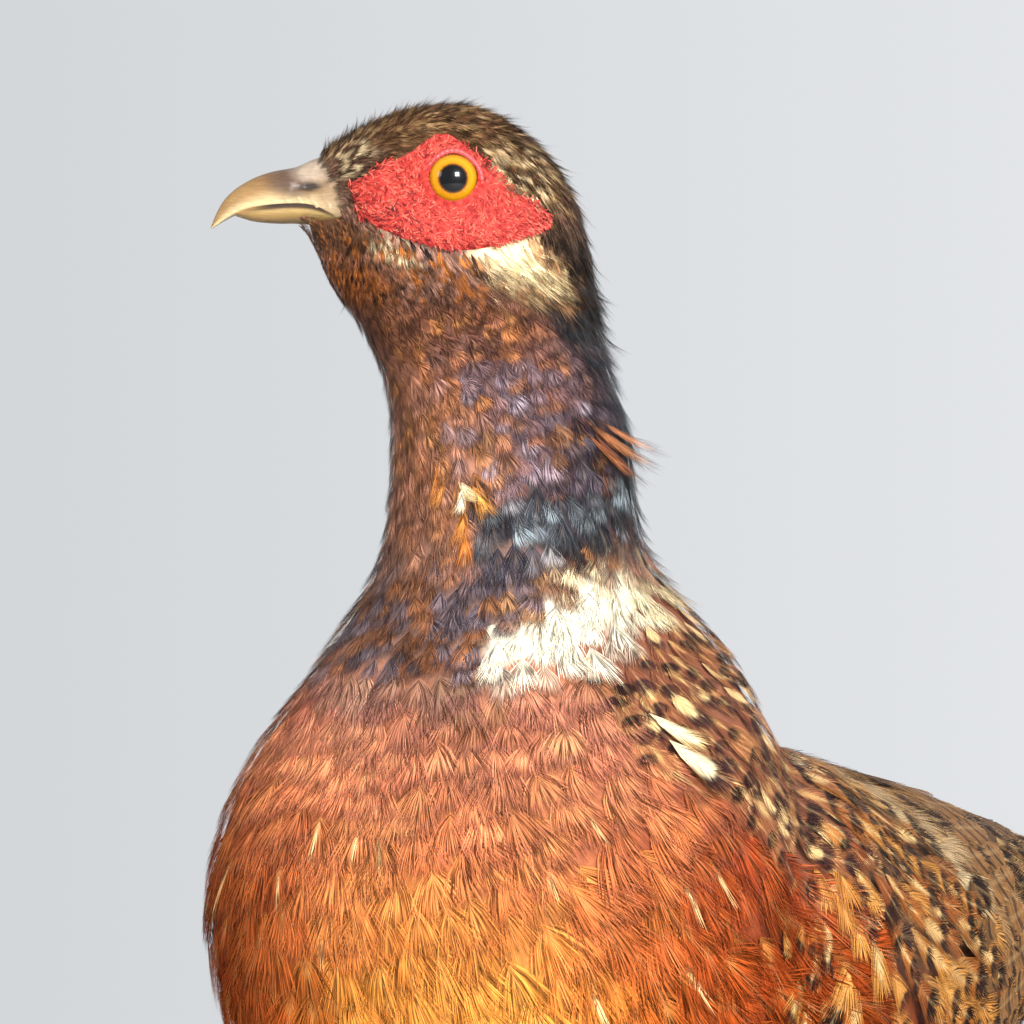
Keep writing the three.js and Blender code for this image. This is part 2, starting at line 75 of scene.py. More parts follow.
# ---- Form of the body ---------------------------------------------------------------
# The stuffed form that the skin is drawn over: ovals from the tail to the bill, each
# through a point of the back and one of the belly [forward, up], with its half width,
# the level of its widest place and the twist of the neck in degrees.
NECK_Y = -80.0
SECTIONS = {
    "covert_tips": (-266, 224.5, -266, 208, 28, 0, 0),
    "coverts": (-236, 234.5, -234, 202, 34, 0, 0),
    "vent": (-205, 244, -198, 191, 40, 0, 0),
    "rump": (-172, 253, -160, 174, 47, 0, 0),
    "saddle": (-136, 261.5, -120, 161, 54, 0, 0),
    "back": (-98, 270, -78, 153, 59, 0, 0),
    "shoulders": (-64, 280.5, -34, 151, 63, 0, 0),
    "mantle": (-43, 292, 10, 160, 64.6, 0.05, 0),
    "keel": (-34, 301.5, 42, 180, 65.3, 0.04, 0),
    "breast": (-31.5, 308.5, 62.5, 210, 62.8, 0, 0),
    "crop": (-30, 316, 67, 244, 51, -0.1, 2),
    "neck_root": (-29, 323, 47.5, 282, 35.8, -0.15, 8),
    "collar": (-27.5, 331, 30, 312, 28, -0.05, 18),
    "mid_neck": (-26, 341, 27, 334, 26, 0, 32),
    "upper_neck": (-22.5, 355, 28, 353, 24, 0, 46),
    "throat": (-18.6, 370, 33.5, 366, 21, 0, 56),
    "cheek": (-16.8, 383, 40, 376, 17.8, 0, 60),
    "ear": (-13.5, 395, 43, 383, 15.8, 0, 60),
    "eye": (-5, 407.5, 45, 386.8, 14, 0, 60),
    "brow": (9, 415.3, 46.2, 388.2, 11.9, 0, 60),
    "forehead": (25, 414, 47, 388.7, 9.9, 0, 60),
    "lores": (36, 409, 47.4, 389, 8.2, 0, 60),
    "bill_root": (43.2, 404.4, 47.6, 389.2, 7, 0, 60),
}
STATIONS = list(SECTIONS)
OVAL_POWER = 2.15
LEVEL_UNIT = 40.0
LEVEL_COLUMN = 5
LAST = len(STATIONS) - 1


def spans_of(points):
    """The smooth curve through a row of points, as the ends and slopes of its spans."""
    row = np.vstack([2 * points[0] - points[1], points, 2 * points[-1] - points[-2]])
    gap = np.sqrt(np.linalg.norm(np.diff(row, axis=0), axis=1))[:, None]
    before, start, end, after = row[:-3], row[1:-2], row[2:-1], row[3:]
    g0, g1, g2 = gap[:-2], gap[1:-1], gap[2:]
    first = g1 * ((start - before) / g0 - (end - before) / (g0 + g1) + (end - start) / g1)
    last = g1 * ((end - start) / g1 - (after - start) / (g1 + g2) + (after - end) / g2)
    return np.stack([start, end, first, last])


def along_spans(spans, place):
    """Points of such a curve, at places counted in spans, going on straight past its ends."""
    k = np.clip(place.astype(int), 0, spans.shape[1] - 1)
    t = np.clip(place - k, 0, 1)[..., None]
    beyond = (place - k)[..., None] - t
    start, end, first, last = spans[:, k]
    cubic = (2 * t ** 3 - 3 * t ** 2 + 1) * start + (t ** 3 - 2 * t ** 2 + t) * first
    cubic = cubic + (3 * t ** 2 - 2 * t ** 3) * end + (t ** 3 - t ** 2) * last
    return cubic + beyond * np.where(beyond < 0, first, last)


section_rows = np.array([SECTIONS[name] for name in STATIONS], float)
section_rows[:, LEVEL_COLUMN] *= LEVEL_UNIT
BODY_SPANS = np.concatenate(
    [spans_of(section_rows[:, part]) for part in (slice(0, 2), slice(2, 4), slice(4, 7))],
    axis=2)


def turned(forward, up, left, turn):
    """A point in the plane of the neck or head, turned with it, in the frame."""
    sine, cosine = np.sin(turn), np.cos(turn)
    x = -forward * sine + left * cosine
    y = NECK_Y - forward * cosine - left * sine
    return np.stack(np.broadcast_arrays(x, y, up), -1)


def bare_form(station, angle):
    """The body at a station along the sections and an angle, from the mid line of the
    back over the bird's left side to the belly."""
    row = along_spans(BODY_SPANS, station)
    back_forward, back_up, belly_forward, belly_up, half, level, turn = np.moveaxis(row, -1, 0)
    sine, cosine = np.sin(angle), np.cos(angle)
    across = np.sign(sine) * np.abs(sine) ** (2 / OVAL_POWER)
    height = np.sign(cosine) * np.abs(cosine) ** (2 / OVAL_POWER)
    height = height + level / LEVEL_UNIT * sine * sine
    forward = (back_forward + belly_forward) / 2 + (back_forward - belly_forward) / 2 * height
    up = (back_up + belly_up) / 2 + (back_up - belly_up) / 2 * height
    return turned(forward, up, half * across, np.radians(turn))


def unit(vectors):
    return vectors / np.maximum(np.linalg.norm(vectors, axis=-1, keepdims=True), 1e-9)


# The folded wing swells the side of the body between two stations: the angles of its
# upper and lower edge at even steps from the wrist to the tip.
WING_FROM, WING_TO = STATIONS.index("mantle"), STATIONS.index("coverts")
WING_TOP = (50, 31, 20, 15, 13, 13, 16, 34)
WING_BOTTOM = (92, 116, 121, 117, 109, 98, 84, 56)
WING_THICKNESS = 8.0
WING_SPANS = spans_of(np.column_stack([10 * np.arange(len(WING_TOP)), WING_TOP, WING_BOTTOM]).astype(float))


def folded_side(angle):
    """Degrees from the mid line of the back, the same on both sides."""
    return np.degrees(np.abs((angle + np.pi) % (2 * np.pi) - np.pi))


def wing_place(station, angle):
    """How far back and how far down on the folded wing a place of the body lies."""
    back = (WING_FROM - station) / (WING_FROM - WING_TO)
    edges = along_spans(WING_SPANS, np.clip(back, 0, 1) * (len(WING_TOP) - 1))
    return back, (folded_side(angle) - edges[..., 1]) / (edges[..., 2] - edges[..., 1])


def wing_swell(station, angle):
    back, down = wing_place(station, angle)
    full = np.sin(np.pi * np.clip(3 * back + 0.06, 0, 0.5)) * (1 - 0.5 * np.clip(back, 0, 1))
    full = full * np.clip((1.12 - back) / 0.15, 0, 1)
    return (1 + WING_THICKNESS) * full * np.sin(np.pi * np.clip(down, 0, 1)) ** 0.7


def body_form(station, angle, lift):
    """The body with its wings, lifted off by so much."""
    step = 0.02
    point = bare_form(station, angle)
    along = bare_form(station + step, angle) - point
    around = bare_form(station, angle + step) - point
    swell = wing_swell(station, angle) + lift
    return point + unit(np.cross(along, around)) * swell[..., None]


def smooth(value, low, high):
    """From nothing at one value to one at another, with no corner."""
    t = np.clip((value - low) / (high - low), 0, 1)
    return t * t * (3 - 2 * t)


def between(value, low, full, fall, end):
    """One over a stretch of values, falling to nothing on either side of it."""
    return smooth(value, low, full) * (1 - smooth(value, fall, end))


def length_along(line):
    """How far along a row of points each one lies."""
    return np.concatenate([[0], np.cumsum(np.linalg.norm(np.diff(line, axis=0), axis=1))])


# How far the unwrap of the body runs along its length, by the station, taken down the side.
side_places = np.linspace(0, LAST, 400)
side_length = length_along(bare_form(side_places, np.full(len(side_places), np.pi / 2)))


def body_unwrap(station, angle):
    run = np.interp(station, side_places, side_length / side_length[-1])
    return np.stack([0.01 + 0.98 * (angle / (2 * np.pi) % 1), 0.01 + 0.98 * run], -1)


# ---- Markings -----------------------------------------------------------------------
# The colours of the plumage over the whole bird, painted the same on the skin and on the
# root of every feather: chestnut breast, white ring, dark neck, streaked crown.
def linear(code):
    """The linear colour of an sRGB hex code."""
    levels = np.array([int(code[k:k + 2], 16) / 255 for k in (1, 3, 5)])
    return np.where(levels <= 0.04045, levels / 12.92, ((levels + 0.055) / 1.055) ** 2.4)


def ramp(value, *stops):
    """Colours along a value, from stops of a place and a hex code."""
    places = [place for place, _ in stops]
    levels = np.array([linear(code) for _, code in stops])
    return np.stack([np.interp(value, places, levels[:, k]) for k in range(3)], -1)


def over(colours, mask, code):
    """A colour laid over others where the mask is one."""
    top = linear(code) if isinstance(code, str) else code
    return colours + np.asarray(mask)[..., None] * (top - colours)


def patch(across, up, centre, size, edge=0.5):
    """One inside an oval, falling to nothing over a part of its size."""
    distance = np.hypot((across - centre[0]) / size[0], (up - centre[1]) / size[1])
    return 1 - smooth(distance, 1 - edge, 1 + edge)


HEAD_TURN = math.radians(60)
RING_SIDES = (0, 55, 75, 88, 110, 140, 150)
RING_LOW = (10.5, 10.75, 10.93, 11.05, 11.22, 11.36, 11.5)
RING_HIGH = (10.95, 11.3, 11.66, 11.72, 11.66, 11.62, 11.5)
RING_GAP = 0.02
MANTLE_PLACES = (0, 3, 6.9, 7.3, 8.2, 9.3, 9.9, 10.4, 11.2)
MANTLE_SIDES = (70, 80, 80, 80, 79, 85, 88, 92, 97)


def head_plane(place):
    """How far forward of the neck's axis a point lies in the plane of the turned head."""
    return -place[..., 0] * math.sin(HEAD_TURN) - (place[..., 1] - NECK_Y) * math.cos(HEAD_TURN)


def ring_end(angle):
    """Where the white ring stops, further forward on the bird's left side."""
    return np.where(np.sin(angle) > 0, 142.0, 104.0)


def ring_mask(station, side, soft):
    """One on the white ring, whose edges fade over so much of a station."""
    low, high = np.interp(side, RING_SIDES, RING_LOW), np.interp(side, RING_SIDES, RING_HIGH)
    return between(station, low - soft, low + soft, high - soft, high + soft)


def ground_colour(station, angle):
    """The plumage's colour at a place of the body, with painted highlight, sheen and shade on the breast and
    flanks.
    """
    place = bare_form(station, angle)
    forward, up, side = head_plane(place), place[..., 2], folded_side(angle)
    turn = np.degrees(angle % (2 * np.pi))
    # Mauve towards the top of the breast: partly the plumage's own colour, partly its purple sheen and pale
    # highlights painted in.
    colour = ramp(up, (155, "#5A3018"), (178, "#A0501A"), (205, "#C06420"), (235, "#BA6428"),
                  (262, "#BA6C3E"), (284, "#B47250"), (302, "#A06A54"))
    golden = 1 - smooth(np.abs(turn - 158), 14, 36)
    flank = between(side, 60, 80, 98, 155) * (1 - smooth(station, 9.2, 10.6))
    border = np.interp(station, MANTLE_PLACES, MANTLE_SIDES)
    mantle = (1 - smooth(side, border - 5, border + 4)) * (1 - smooth(station, 10.9, 11.2))
    for mask, code in (
        # Painted shade: the lower breast darker on the bird's right, the side turned from the light.
        (between(turn, 178, 212, 240, 290) * (1 - smooth(up, 250, 292)) * 0.85, "#8C3C1A"),
        # Golden on the near side of the lower breast only: the plumage's own gold with a painted highlight
        # where the light falls.
        (golden * (1 - smooth(up, 215, 265)) * smooth(up, 150, 175), "#D8943E"),
        # Painted shade: the flanks darker and redder on both sides, where they turn from the light.
        (flank * 0.85, "#823012"),
        (smooth(side, 140, 165) * (1 - smooth(station, 5.5, 8.5)), "#33231A"),
        (smooth(side, 100, 130) * (1 - smooth(station, 2, 3.5)), "#5A3A22"),
        (mantle, "#84503A"),
        ((1 - smooth(side, 70, 95)) * (1 - smooth(station, 5.2, 7.4)), "#7C5E3E"),
        ((1 - smooth(side, 70, 100)) * (1 - smooth(station, 2.6, 4.2)), "#8A6238"),
        (smooth(station, 11.1, 11.6) * smooth(side, 100, 130), "#806053"),
    ):
        colour = over(colour, mask, code)
    # Painted highlight: the front and right of the crop are made half again as bright.
    crop = between(turn, 165, 195, 230, 270) * smooth(station, 10.4, 10.9)
    colour = colour * (1 + 0.5 * crop * (1 - smooth(station, 11.7, 12.2)))[..., None]

    neck = smooth(station, 11.6, 12.1)
    front = ramp(station, (11.8, "#8C7064"), (12.6, "#AC765C"), (15, "#A8725A"))
    edge = np.interp(station, (12, 13.2, 14.3, 15.5), (112, 92, 66, 54))
    ring = ring_mask(station, side, 0.06) * (1 - smooth(side, ring_end(angle) - 4, ring_end(angle)))
    upper = smooth(station, 14.0, 15.2)
    head = smooth(station, 15.4, 16.2)
    gape = patch(forward, up - 0.42 * (forward - 28), (28, 386), (6, 1.1))
    stripe = patch(forward - 0.68 * (up - 392), up, (-8.5, 391), (2.4, 10))
    for mask, code in (
        (neck, "#684C4A"),
        (neck * smooth(side, 105, 140), front),
        (neck * (1 - smooth(side, edge - 16, edge + 8)), "#46383E"),
        (neck * (1 - smooth(side, edge - 50, edge - 22)), "#1E2428"),
        (between(station, 12.1, 12.25, 12.85, 13.0) * (1 - smooth(side, 135, 150)), "#302A2A"),
        (ring, ramp(side, (35, "#BCA078"), (58, "#DCCA9C"), (80, "#EEE6CC"))),
        (upper * (1 - smooth(side, 50, 80)), "#2A2626"),
        (upper * smooth(side, 50, 80), "#6E4430"),
        (head, "#8E6656"),
        (head * smooth(up, 396, 403), "#6A4A32"),
        (patch(forward, up, (-15, 384), (5, 13)) * head, "#2A2220"),
        (patch(forward, up + 0.15 * forward, (-3, 382.5), (9.5, 4.6)) * smooth(station, 15, 15.6), "#B08252"),
        (patch(forward, up + 0.1 * forward, (1.5, 383), (7.5, 3)) * head, "#F0DAA8"),
        (patch(forward, up, (36, 400), (7, 6)) * head, "#4A3228"),
        (gape * head, "#D8C49A"),
        (stripe * head, "#1E1A1A"),
        (patch(forward, up, (36, 376), (9, 8)) * smooth(side, 90, 120) * head, "#8E5028"),
        (patch(forward, up, (40, 388), (8, 4)) * head, "#5A3A28"),
    ):
        colour = over(colour, mask, code)
    return colour


# ---- Skin ---------------------------------------------------------------------------
# One tanned skin over the body, thighs, shanks and feet, with no seam. It lies inside the
# coat by the coat's depth, and is bare and scaly on the shanks and toes.
PLINTH_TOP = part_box("stand_plinth")[1].z / MM
SOLE = PLINTH_TOP + 0.3
ANKLE = (34, -4)
THIGH = (
    (33, -30, 190, 20, 34),
    (34, -20, 160, 21, 31),
    (34, 0, 133, 15, 19),
    (35, 12, 110, 8.5, 9.5),
    (35, 17, 99, 6.6, 7.4),
)
SHANK = (
    (35, 15, 105, 4.4, 5),
    (35, 18, 94, 5.2, 6.8),
    (34.7, 10.7, 74.3, 3.7, 5.1),
    (34.3, 3.3, 52.7, 3.6, 4.8),
    (34, -2.5, 36, 4.4, 5),
    (34, -5, PLINTH_TOP + 5, 5.2, 5.4),
    (34, -6, SOLE, 5, 5.6),
)
TOES = {"inner": (33, 24, 10), "middle": (47, -3, 11), "outer": (35, -30, 10), "hind": (13, 163, 8)}
TOE_RADIUS = 3.7
SIDES = {"left": 1, "right": -1}


def even_turns(count):
    return np.linspace(0, 2 * np.pi, count, endpoint=False)


def ring_grid(places, count):
    """Places along a form and even turns round it, as two grids."""
    return np.meshgrid(places, even_turns(count), indexing="ij")


def limb_spans(points):
    rows = np.array(points, float)
    return np.concatenate([spans_of(rows[:, :3]), spans_of(rows[:, 3:])], axis=2)


def limb_form(spans, along, angle, lift, side):
    """A round limb: places along it in spans, angles round it from its outer side."""
    row = along_spans(spans, along)
    tangent = unit(along_spans(spans, along + 0.05)[..., :3] - row[..., :3])
    across = np.zeros_like(tangent)
    across[..., 0] = 1
    across = unit(across - tangent * tangent[..., :1])
    fore = np.cross(tangent, across)
    cosine, sine = np.cos(angle)[..., None], np.sin(angle)[..., None]
    out = across * cosine + fore * sine
    point = row[..., :3] + across * row[..., 3:4] * cosine + fore * row[..., 4:5] * sine
    point = point + unit(out) * lift[..., None]
    point[..., 0] *= side
    return point


def limb_rings(points, steps, turns, lift, side):
    """The rings of a limb, lifted off by so much and kept on top of the plinth."""
    along, angle = ring_grid(np.linspace(0, len(points) - 1, steps), turns)
    rings = limb_form(limb_spans(points), along, angle, np.full(along.shape, lift), side)
    rings[..., 2] = np.maximum(rings[..., 2], SOLE)
    return rings


def toe_place(turn, reach, height):
    """A point so far out along a toe and so high over the plinth."""
    x = ANKLE[0] - math.sin(math.radians(turn)) * reach
    y = ANKLE[1] - 2 - math.cos(math.radians(turn)) * reach
    return x, y, SOLE + height


def toe_points(toe):
    length, turn, _ = TOES[toe]
    points = []
    for t in (0.0, 0.5, 1.0):
        radius = TOE_RADIUS * (1 - 0.34 * t)
        height = 4.6 - 1.6 * t if toe == "hind" else radius * 0.82
        points.append((*toe_place(turn, length * t, height), radius, radius * 0.9))
    return points


def mesh_of(name, points, faces):
    """A mesh in metres from points in millimetres and faces of any number of corners."""
    mesh = bpy.data.meshes.new(name)
    mesh.from_pydata((np.asarray(points) * MM).tolist(), [], faces)
    mesh.polygons.foreach_set("use_smooth", [True] * len(mesh.polygons))
    return mesh


def grid_faces(rows, columns, round_columns=True, round_rows=False):
    """Quads between the points of a grid, going on from its last row or column to the first."""
    return [(k * columns + j, k * columns + (j + 1) % columns,
             (k + 1) % rows * columns + (j + 1) % columns, (k + 1) % rows * columns + j)
            for k in range(rows if round_rows else rows - 1)
            for j in range(columns if round_columns else columns - 1)]


def closed_rings(name, grid):
    """A closed mesh through a grid of points, one row a ring, its faces outwards."""
    rings, columns = grid.shape[:2]
    ends = [tuple(reversed(range(columns))), tuple(range((rings - 1) * columns, rings * columns))]
    mesh = mesh_of(name, grid.reshape(-1, 3), grid_faces(rings, columns) + ends)
    centre = grid.mean(axis=(0, 1)) * MM
    total = sum((face.center - Vector(centre)).dot(face.normal) * face.area for face in mesh.polygons)
    if total < 0:
        mesh.flip_normals()
    return mesh


def piece_of(name, mesh, material=None):
    made = bpy.data.objects.new(name, mesh)
    bpy.context.scene.collection.objects.link(made)
    if material:
        mesh.materials.append(material)
    return made


def paint(mesh, layer, colours):
    """Colours by point, as a layer of the mesh."""
    made = mesh.color_attributes.new(layer, "FLOAT_COLOR", "POINT")
    opaque = np.column_stack([colours, np.ones(len(colours))])
    made.data.foreach_set("color", opaque.astype(np.float32).ravel())


def note(mesh, layer, values):
    """A number or a vector by point, as a layer of the mesh."""
    kind, key = ("FLOAT_VECTOR", "vector") if np.ndim(values) > 1 else ("FLOAT", "value")
    made = mesh.attributes.new(layer, kind, "POINT")
    made.data.foreach_set(key, values.astype(np.float32).ravel())


BILL_SEAT_DEPTH = 3.4
SKIN_VOXEL = 0.0015


def coat_depth(station):
    return np.interp(station, (0, 4, 8, 10.5, 12, 15, 17), (2.6, 3, 2.6, 2, 1.5, 1.1, 0.8))


def joined(name, objects):
    """One object out of several, which are used up."""
    bpy.ops.object.select_all(action="DESELECT")
    for item in objects:
        item.select_set(True)
    bpy.context.view_layer.objects.active = objects[0]
    bpy.ops.object.join()
    objects[0].name = name
    return objects[0]


def baked(item, modifiers):
    """The object with modifiers made real, each a type and its settings."""
    for kind, settings in modifiers:
        modifier = item.modifiers.new(kind.lower(), kind)
        for key, value in settings.items():
            setattr(modifier, key, value)
    bpy.context.view_layer.update()
    graph = bpy.context.evaluated_depsgraph_get()
    mesh = bpy.data.meshes.new_from_object(item.evaluated_get(graph))
    item.modifiers.clear()
    item.data = mesh
    return item


station_grid, angle_grid = ring_grid(np.linspace(0, LAST - 0.3, 221), 96)
bare_points = bare_form(station_grid, angle_grid)
bill_seat = patch(head_plane(bare_points), bare_points[..., 2], (45, 397), (11, 8.5), 0.25)
parts = [piece_of("skin_body", closed_rings("skin_body", body_form(
    station_grid, angle_grid, -coat_depth(station_grid) - BILL_SEAT_DEPTH * bill_seat)))]
for side in SIDES.values():
    for limb, shrink in ((THIGH, 2.6), (SHANK, 0.3), *((toe_points(toe), 0.3) for toe in TOES)):
        limb_mesh = closed_rings("skin_limb", limb_rings(limb, 40, 28, -shrink, side))
        parts.append(piece_of("skin_limb", limb_mesh))
skin = joined("skin", parts)
skin = baked(skin, [("REMESH", {"mode": "VOXEL", "voxel_size": SKIN_VOXEL, "use_smooth_shade": True}),
                    ("SMOOTH", {"factor": 0.5, "iterations": 4})])
skin.data.name = "skin"

# The skin takes its markings from the nearest place of the body, but for its legs.
sample_s, sample_a = (grid.ravel() for grid in ring_grid(np.linspace(0, LAST, 133), 90))
sample_points = body_form(sample_s, sample_a, -coat_depth(sample_s))
tree = KDTree(len(sample_points))
for index, point in enumerate(sample_points):
    tree.insert(point * MM, index)
tree.balance()
nearest = [tree.find(vertex.co) for vertex in skin.data.vertices]
found = np.array([hit[1] for hit in nearest])
away = np.array([hit[2] for hit in nearest]) / MM
heights = np.array([vertex.co.z for vertex in skin.data.vertices]) / MM
leg = smooth(away, 2, 5)
feathered = smooth(heights, 96, 104)
bare_leg = leg * (1 - feathered)
skin_colours = ground_colour(sample_s[found], sample_a[found])
skin_colours = over(over(skin_colours, leg * feathered, "#6A4024"), bare_leg, "#8A8072")
paint(skin.data, "markings", skin_colours)
note(skin.data, "bare", bare_leg)


def add_node(tree, kind, inputs=(), **settings):
    """A node with its settings, and its inputs as values or as links from sockets."""
    node = tree.nodes.new(kind)
    for key, value in settings.items():
        setattr(node, key, value)
    for key, value in dict(inputs).items():
        if isinstance(value, bpy.types.NodeSocket):
            tree.links.new(value, node.inputs[key])
        else:
            node.inputs[key].default_value = value
    return node


def new_material(name, **values):
    """A material whose shader has the given values, with its tree and shader."""
    material = bpy.data.materials.new(name)
    material.use_nodes = True
    shader = material.node_tree.nodes["Principled BSDF"]
    for key, value in values.items():
        shader.inputs[key.replace("_", " ")].default_value = value
    return material, material.node_tree, shader


def dress(nodes, shader, colour, height=None, strength=0.0, distance=0.0):
    """The shader's colour, and its relief where there is one."""
    nodes.links.new(colour, shader.inputs["Base Color"])
    if height:
        relief = add_node(nodes, "ShaderNodeBump", {
            "Height": height, "Strength": strength, "Distance": distance})
        nodes.links.new(relief.outputs["Normal"], shader.inputs["Normal"])


def rgba(code):
    return (*linear(code), 1.0)


# Tanned skin: matt and pored, with the fine net of scales of the shank below the hock.
skin_material, nodes, shader = new_material("tanned_skin", Roughness=0.62, Specular_IOR_Level=0.3)
painted = add_node(nodes, "ShaderNodeAttribute", attribute_name="markings")
bare = add_node(nodes, "ShaderNodeAttribute", attribute_name="bare")
where = add_node(nodes, "ShaderNodeTexCoord").outputs["Object"]
pores = add_node(nodes, "ShaderNodeTexNoise", {"Vector": where, "Scale": 1200.0, "Detail": 3.0})
scales = add_node(nodes, "ShaderNodeTexVoronoi", {"Vector": where, "Scale": 520.0},
                  feature="DISTANCE_TO_EDGE")
groove = add_node(nodes, "ShaderNodeMapRange", {
    "Value": scales.outputs["Distance"], "From Max": 0.12, "To Min": 0.55, "To Max": 1.0})
shade = add_node(nodes, "ShaderNodeMix", {"Factor": bare.outputs["Fac"], 2: 1.0, 3: groove.outputs["Result"]})
tone = add_node(nodes, "ShaderNodeMath", {0: pores.outputs["Fac"], 1: 0.5}, operation="MULTIPLY")
tone = add_node(nodes, "ShaderNodeMath", {0: tone.outputs[0], 1: 0.72}, operation="ADD")
value = add_node(nodes, "ShaderNodeMath", {0: tone.outputs[0], 1: shade.outputs[0]}, operation="MULTIPLY")
tinted = add_node(nodes, "ShaderNodeVectorMath", {
    0: painted.outputs["Color"], "Scale": value.outputs[0]}, operation="SCALE")
dress(nodes, shader, tinted.outputs["Vector"], value.outputs[0], 0.5, 0.0004)
skin.data.materials.clear()
skin.data.materials.append(skin_material)
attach(skin, "root")
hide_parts("trunk", "neck", "head", "tail_coverts",
            *(f"{part}_{side}" for part in ("thigh", "shank", "foot") for side in SIDES))


# ---- Coat: how a feather is made and laid --------------------------------------------
# Each feather is a cupped vane on a shaft: rows of barbs that leave the shaft, bend
# towards the tip and part at the margin. It follows the form from its root backwards,
# rising through the coat, so that each one overlaps those behind it like a tile.
def scatter(surface, place_range, angle_range, spacing, keep, tries, seed):
    """Roots over a surface, no two nearer than the spacing there, where keep says so."""
    rng = np.random.default_rng(seed)
    u = rng.uniform(*place_range, tries)
    v = rng.uniform(*angle_range, tries)
    point = surface(u, v, np.zeros(tries))
    du = surface(u + 0.02, v, np.zeros(tries)) - point
    dv = surface(u, v + 0.02, np.zeros(tries)) - point
    gap = spacing(u, v)
    weight = np.linalg.norm(np.cross(du, dv), axis=1) / gap ** 2
    chosen = (rng.uniform(0, 1, tries) < weight / np.percentile(weight, 97)) & keep(u, v)
    u, v, point, gap = u[chosen], v[chosen], point[chosen], gap[chosen]
    cell = gap.max()
    cells, kept = {}, []
    around = [(a, b, c) for a in (-1, 0, 1) for b in (-1, 0, 1) for c in (-1, 0, 1)]
    for index, (x, y, z) in enumerate(point.tolist()):
        i, j, k = int(x // cell), int(y // cell), int(z // cell)
        limit = gap[index] ** 2
        near = (root for a, b, c in around for root in cells.get((i + a, j + b, k + c), ()))
        if all((px - x) ** 2 + (py - y) ** 2 + (pz - z) ** 2 >= limit for px, py, pz in near):
            cells.setdefault((i, j, k), []).append((x, y, z))
            kept.append(index)
    return u[kept], v[kept]


def frame_on(surface, u, v, way):
    """A place of the surface: its point, what each coordinate adds, and the directions
    along and across it."""
    step = 0.01
    zero = np.zeros_like(u)
    here = surface(u, v, zero)
    du = (surface(u + step, v, zero) - here) / step
    dv = (surface(u, v + step, zero) - here) / step
    along = unit(du) * way
    return here, du, dv, along, unit(dv - along * (dv * along).sum(-1, keepdims=True))


def walk_over(surface, u, v, aim, bend, length, steps, way):
    """The shaft of each feather, walked over the surface: at every step its place, what
    one millimetre across it adds to the place, and the direction out of the surface."""
    rows = []
    for k in range(steps + 1):
        here, du, dv, along, side = frame_on(surface, u, v, way)
        turn = aim + bend * (k / steps)
        ahead = along * np.cos(turn)[:, None] + side * np.sin(turn)[:, None]
        across = side * np.cos(turn)[:, None] - along * np.sin(turn)[:, None]
        uu, vv, uv = (du * du).sum(-1), (dv * dv).sum(-1), (du * dv).sum(-1)
        det = np.maximum(uu * vv - uv * uv, 1e-6)

        def steps_of(way_out):
            a, b = (way_out * du).sum(-1), (way_out * dv).sum(-1)
            return (a * vv - b * uv) / det, (b * uu - a * uv) / det

        cu, cv = steps_of(across)
        hu, hv = steps_of(ahead)
        out = unit(surface(u, v, np.ones_like(u)) - here)
        rows.append(np.column_stack([u, v, cu, cv, out]))
        u = u + hu * length / steps
        v = v + hv * length / steps
    return np.stack(rows)


def aim_of(surface, u, v, toward, way=-1):
    """The aim that points feathers along given directions."""
    along, side = frame_on(surface, u, v, way)[3:]
    return np.arctan2((toward * side).sum(-1), (toward * along).sum(-1))


def triangle_mesh(name, points, triangles, maps, colours, values):
    """A mesh of triangles from arrays, with its UV maps, colours and values by point."""
    mesh = bpy.data.meshes.new(name)
    mesh.vertices.add(len(points))
    mesh.vertices.foreach_set("co", (points * MM).astype(np.float32).ravel())
    mesh.loops.add(triangles.size)
    mesh.polygons.add(len(triangles))
    mesh.loops.foreach_set("vertex_index", triangles.astype(np.int32).ravel())
    mesh.polygons.foreach_set("loop_start", np.arange(0, triangles.size, 3, dtype=np.int32))
    mesh.polygons.foreach_set("use_smooth", np.ones(len(triangles), bool))
    for layer, places in maps.items():
        mesh.uv_layers.new(name=layer)
        mesh.uv_layers[layer].data.foreach_set("uv", places[triangles.ravel()].astype(np.float32).ravel())
    for layer, shades in colours.items():
        paint(mesh, layer, shades)
    for layer, numbers in values.items():
        note(mesh, layer, numbers)
    mesh.update(calc_edges=True)
    mesh.validate()
    return mesh


PATCH = 0.003
FEATHER_STEPS = 6
NO_SPOT = (2.0, 0.1, 0.1)
COLOURED = ("ground", "centre", "fringe", "mark", "marks", "spot")
USUAL = {"aim": 0, "bend": 0, "depth": 0, "tip": 0, "dome": 0, "tilt": 0, "lift": 0, "fan": 0, "slim": 0,
         "fray": 0.6, "taper": 0.85, "parting": 3, "base": 0.08, "point": 2.2, "lean": 0.3, "stem": 0.5,
         "rise": 1.15, "ruffle": 0.12}


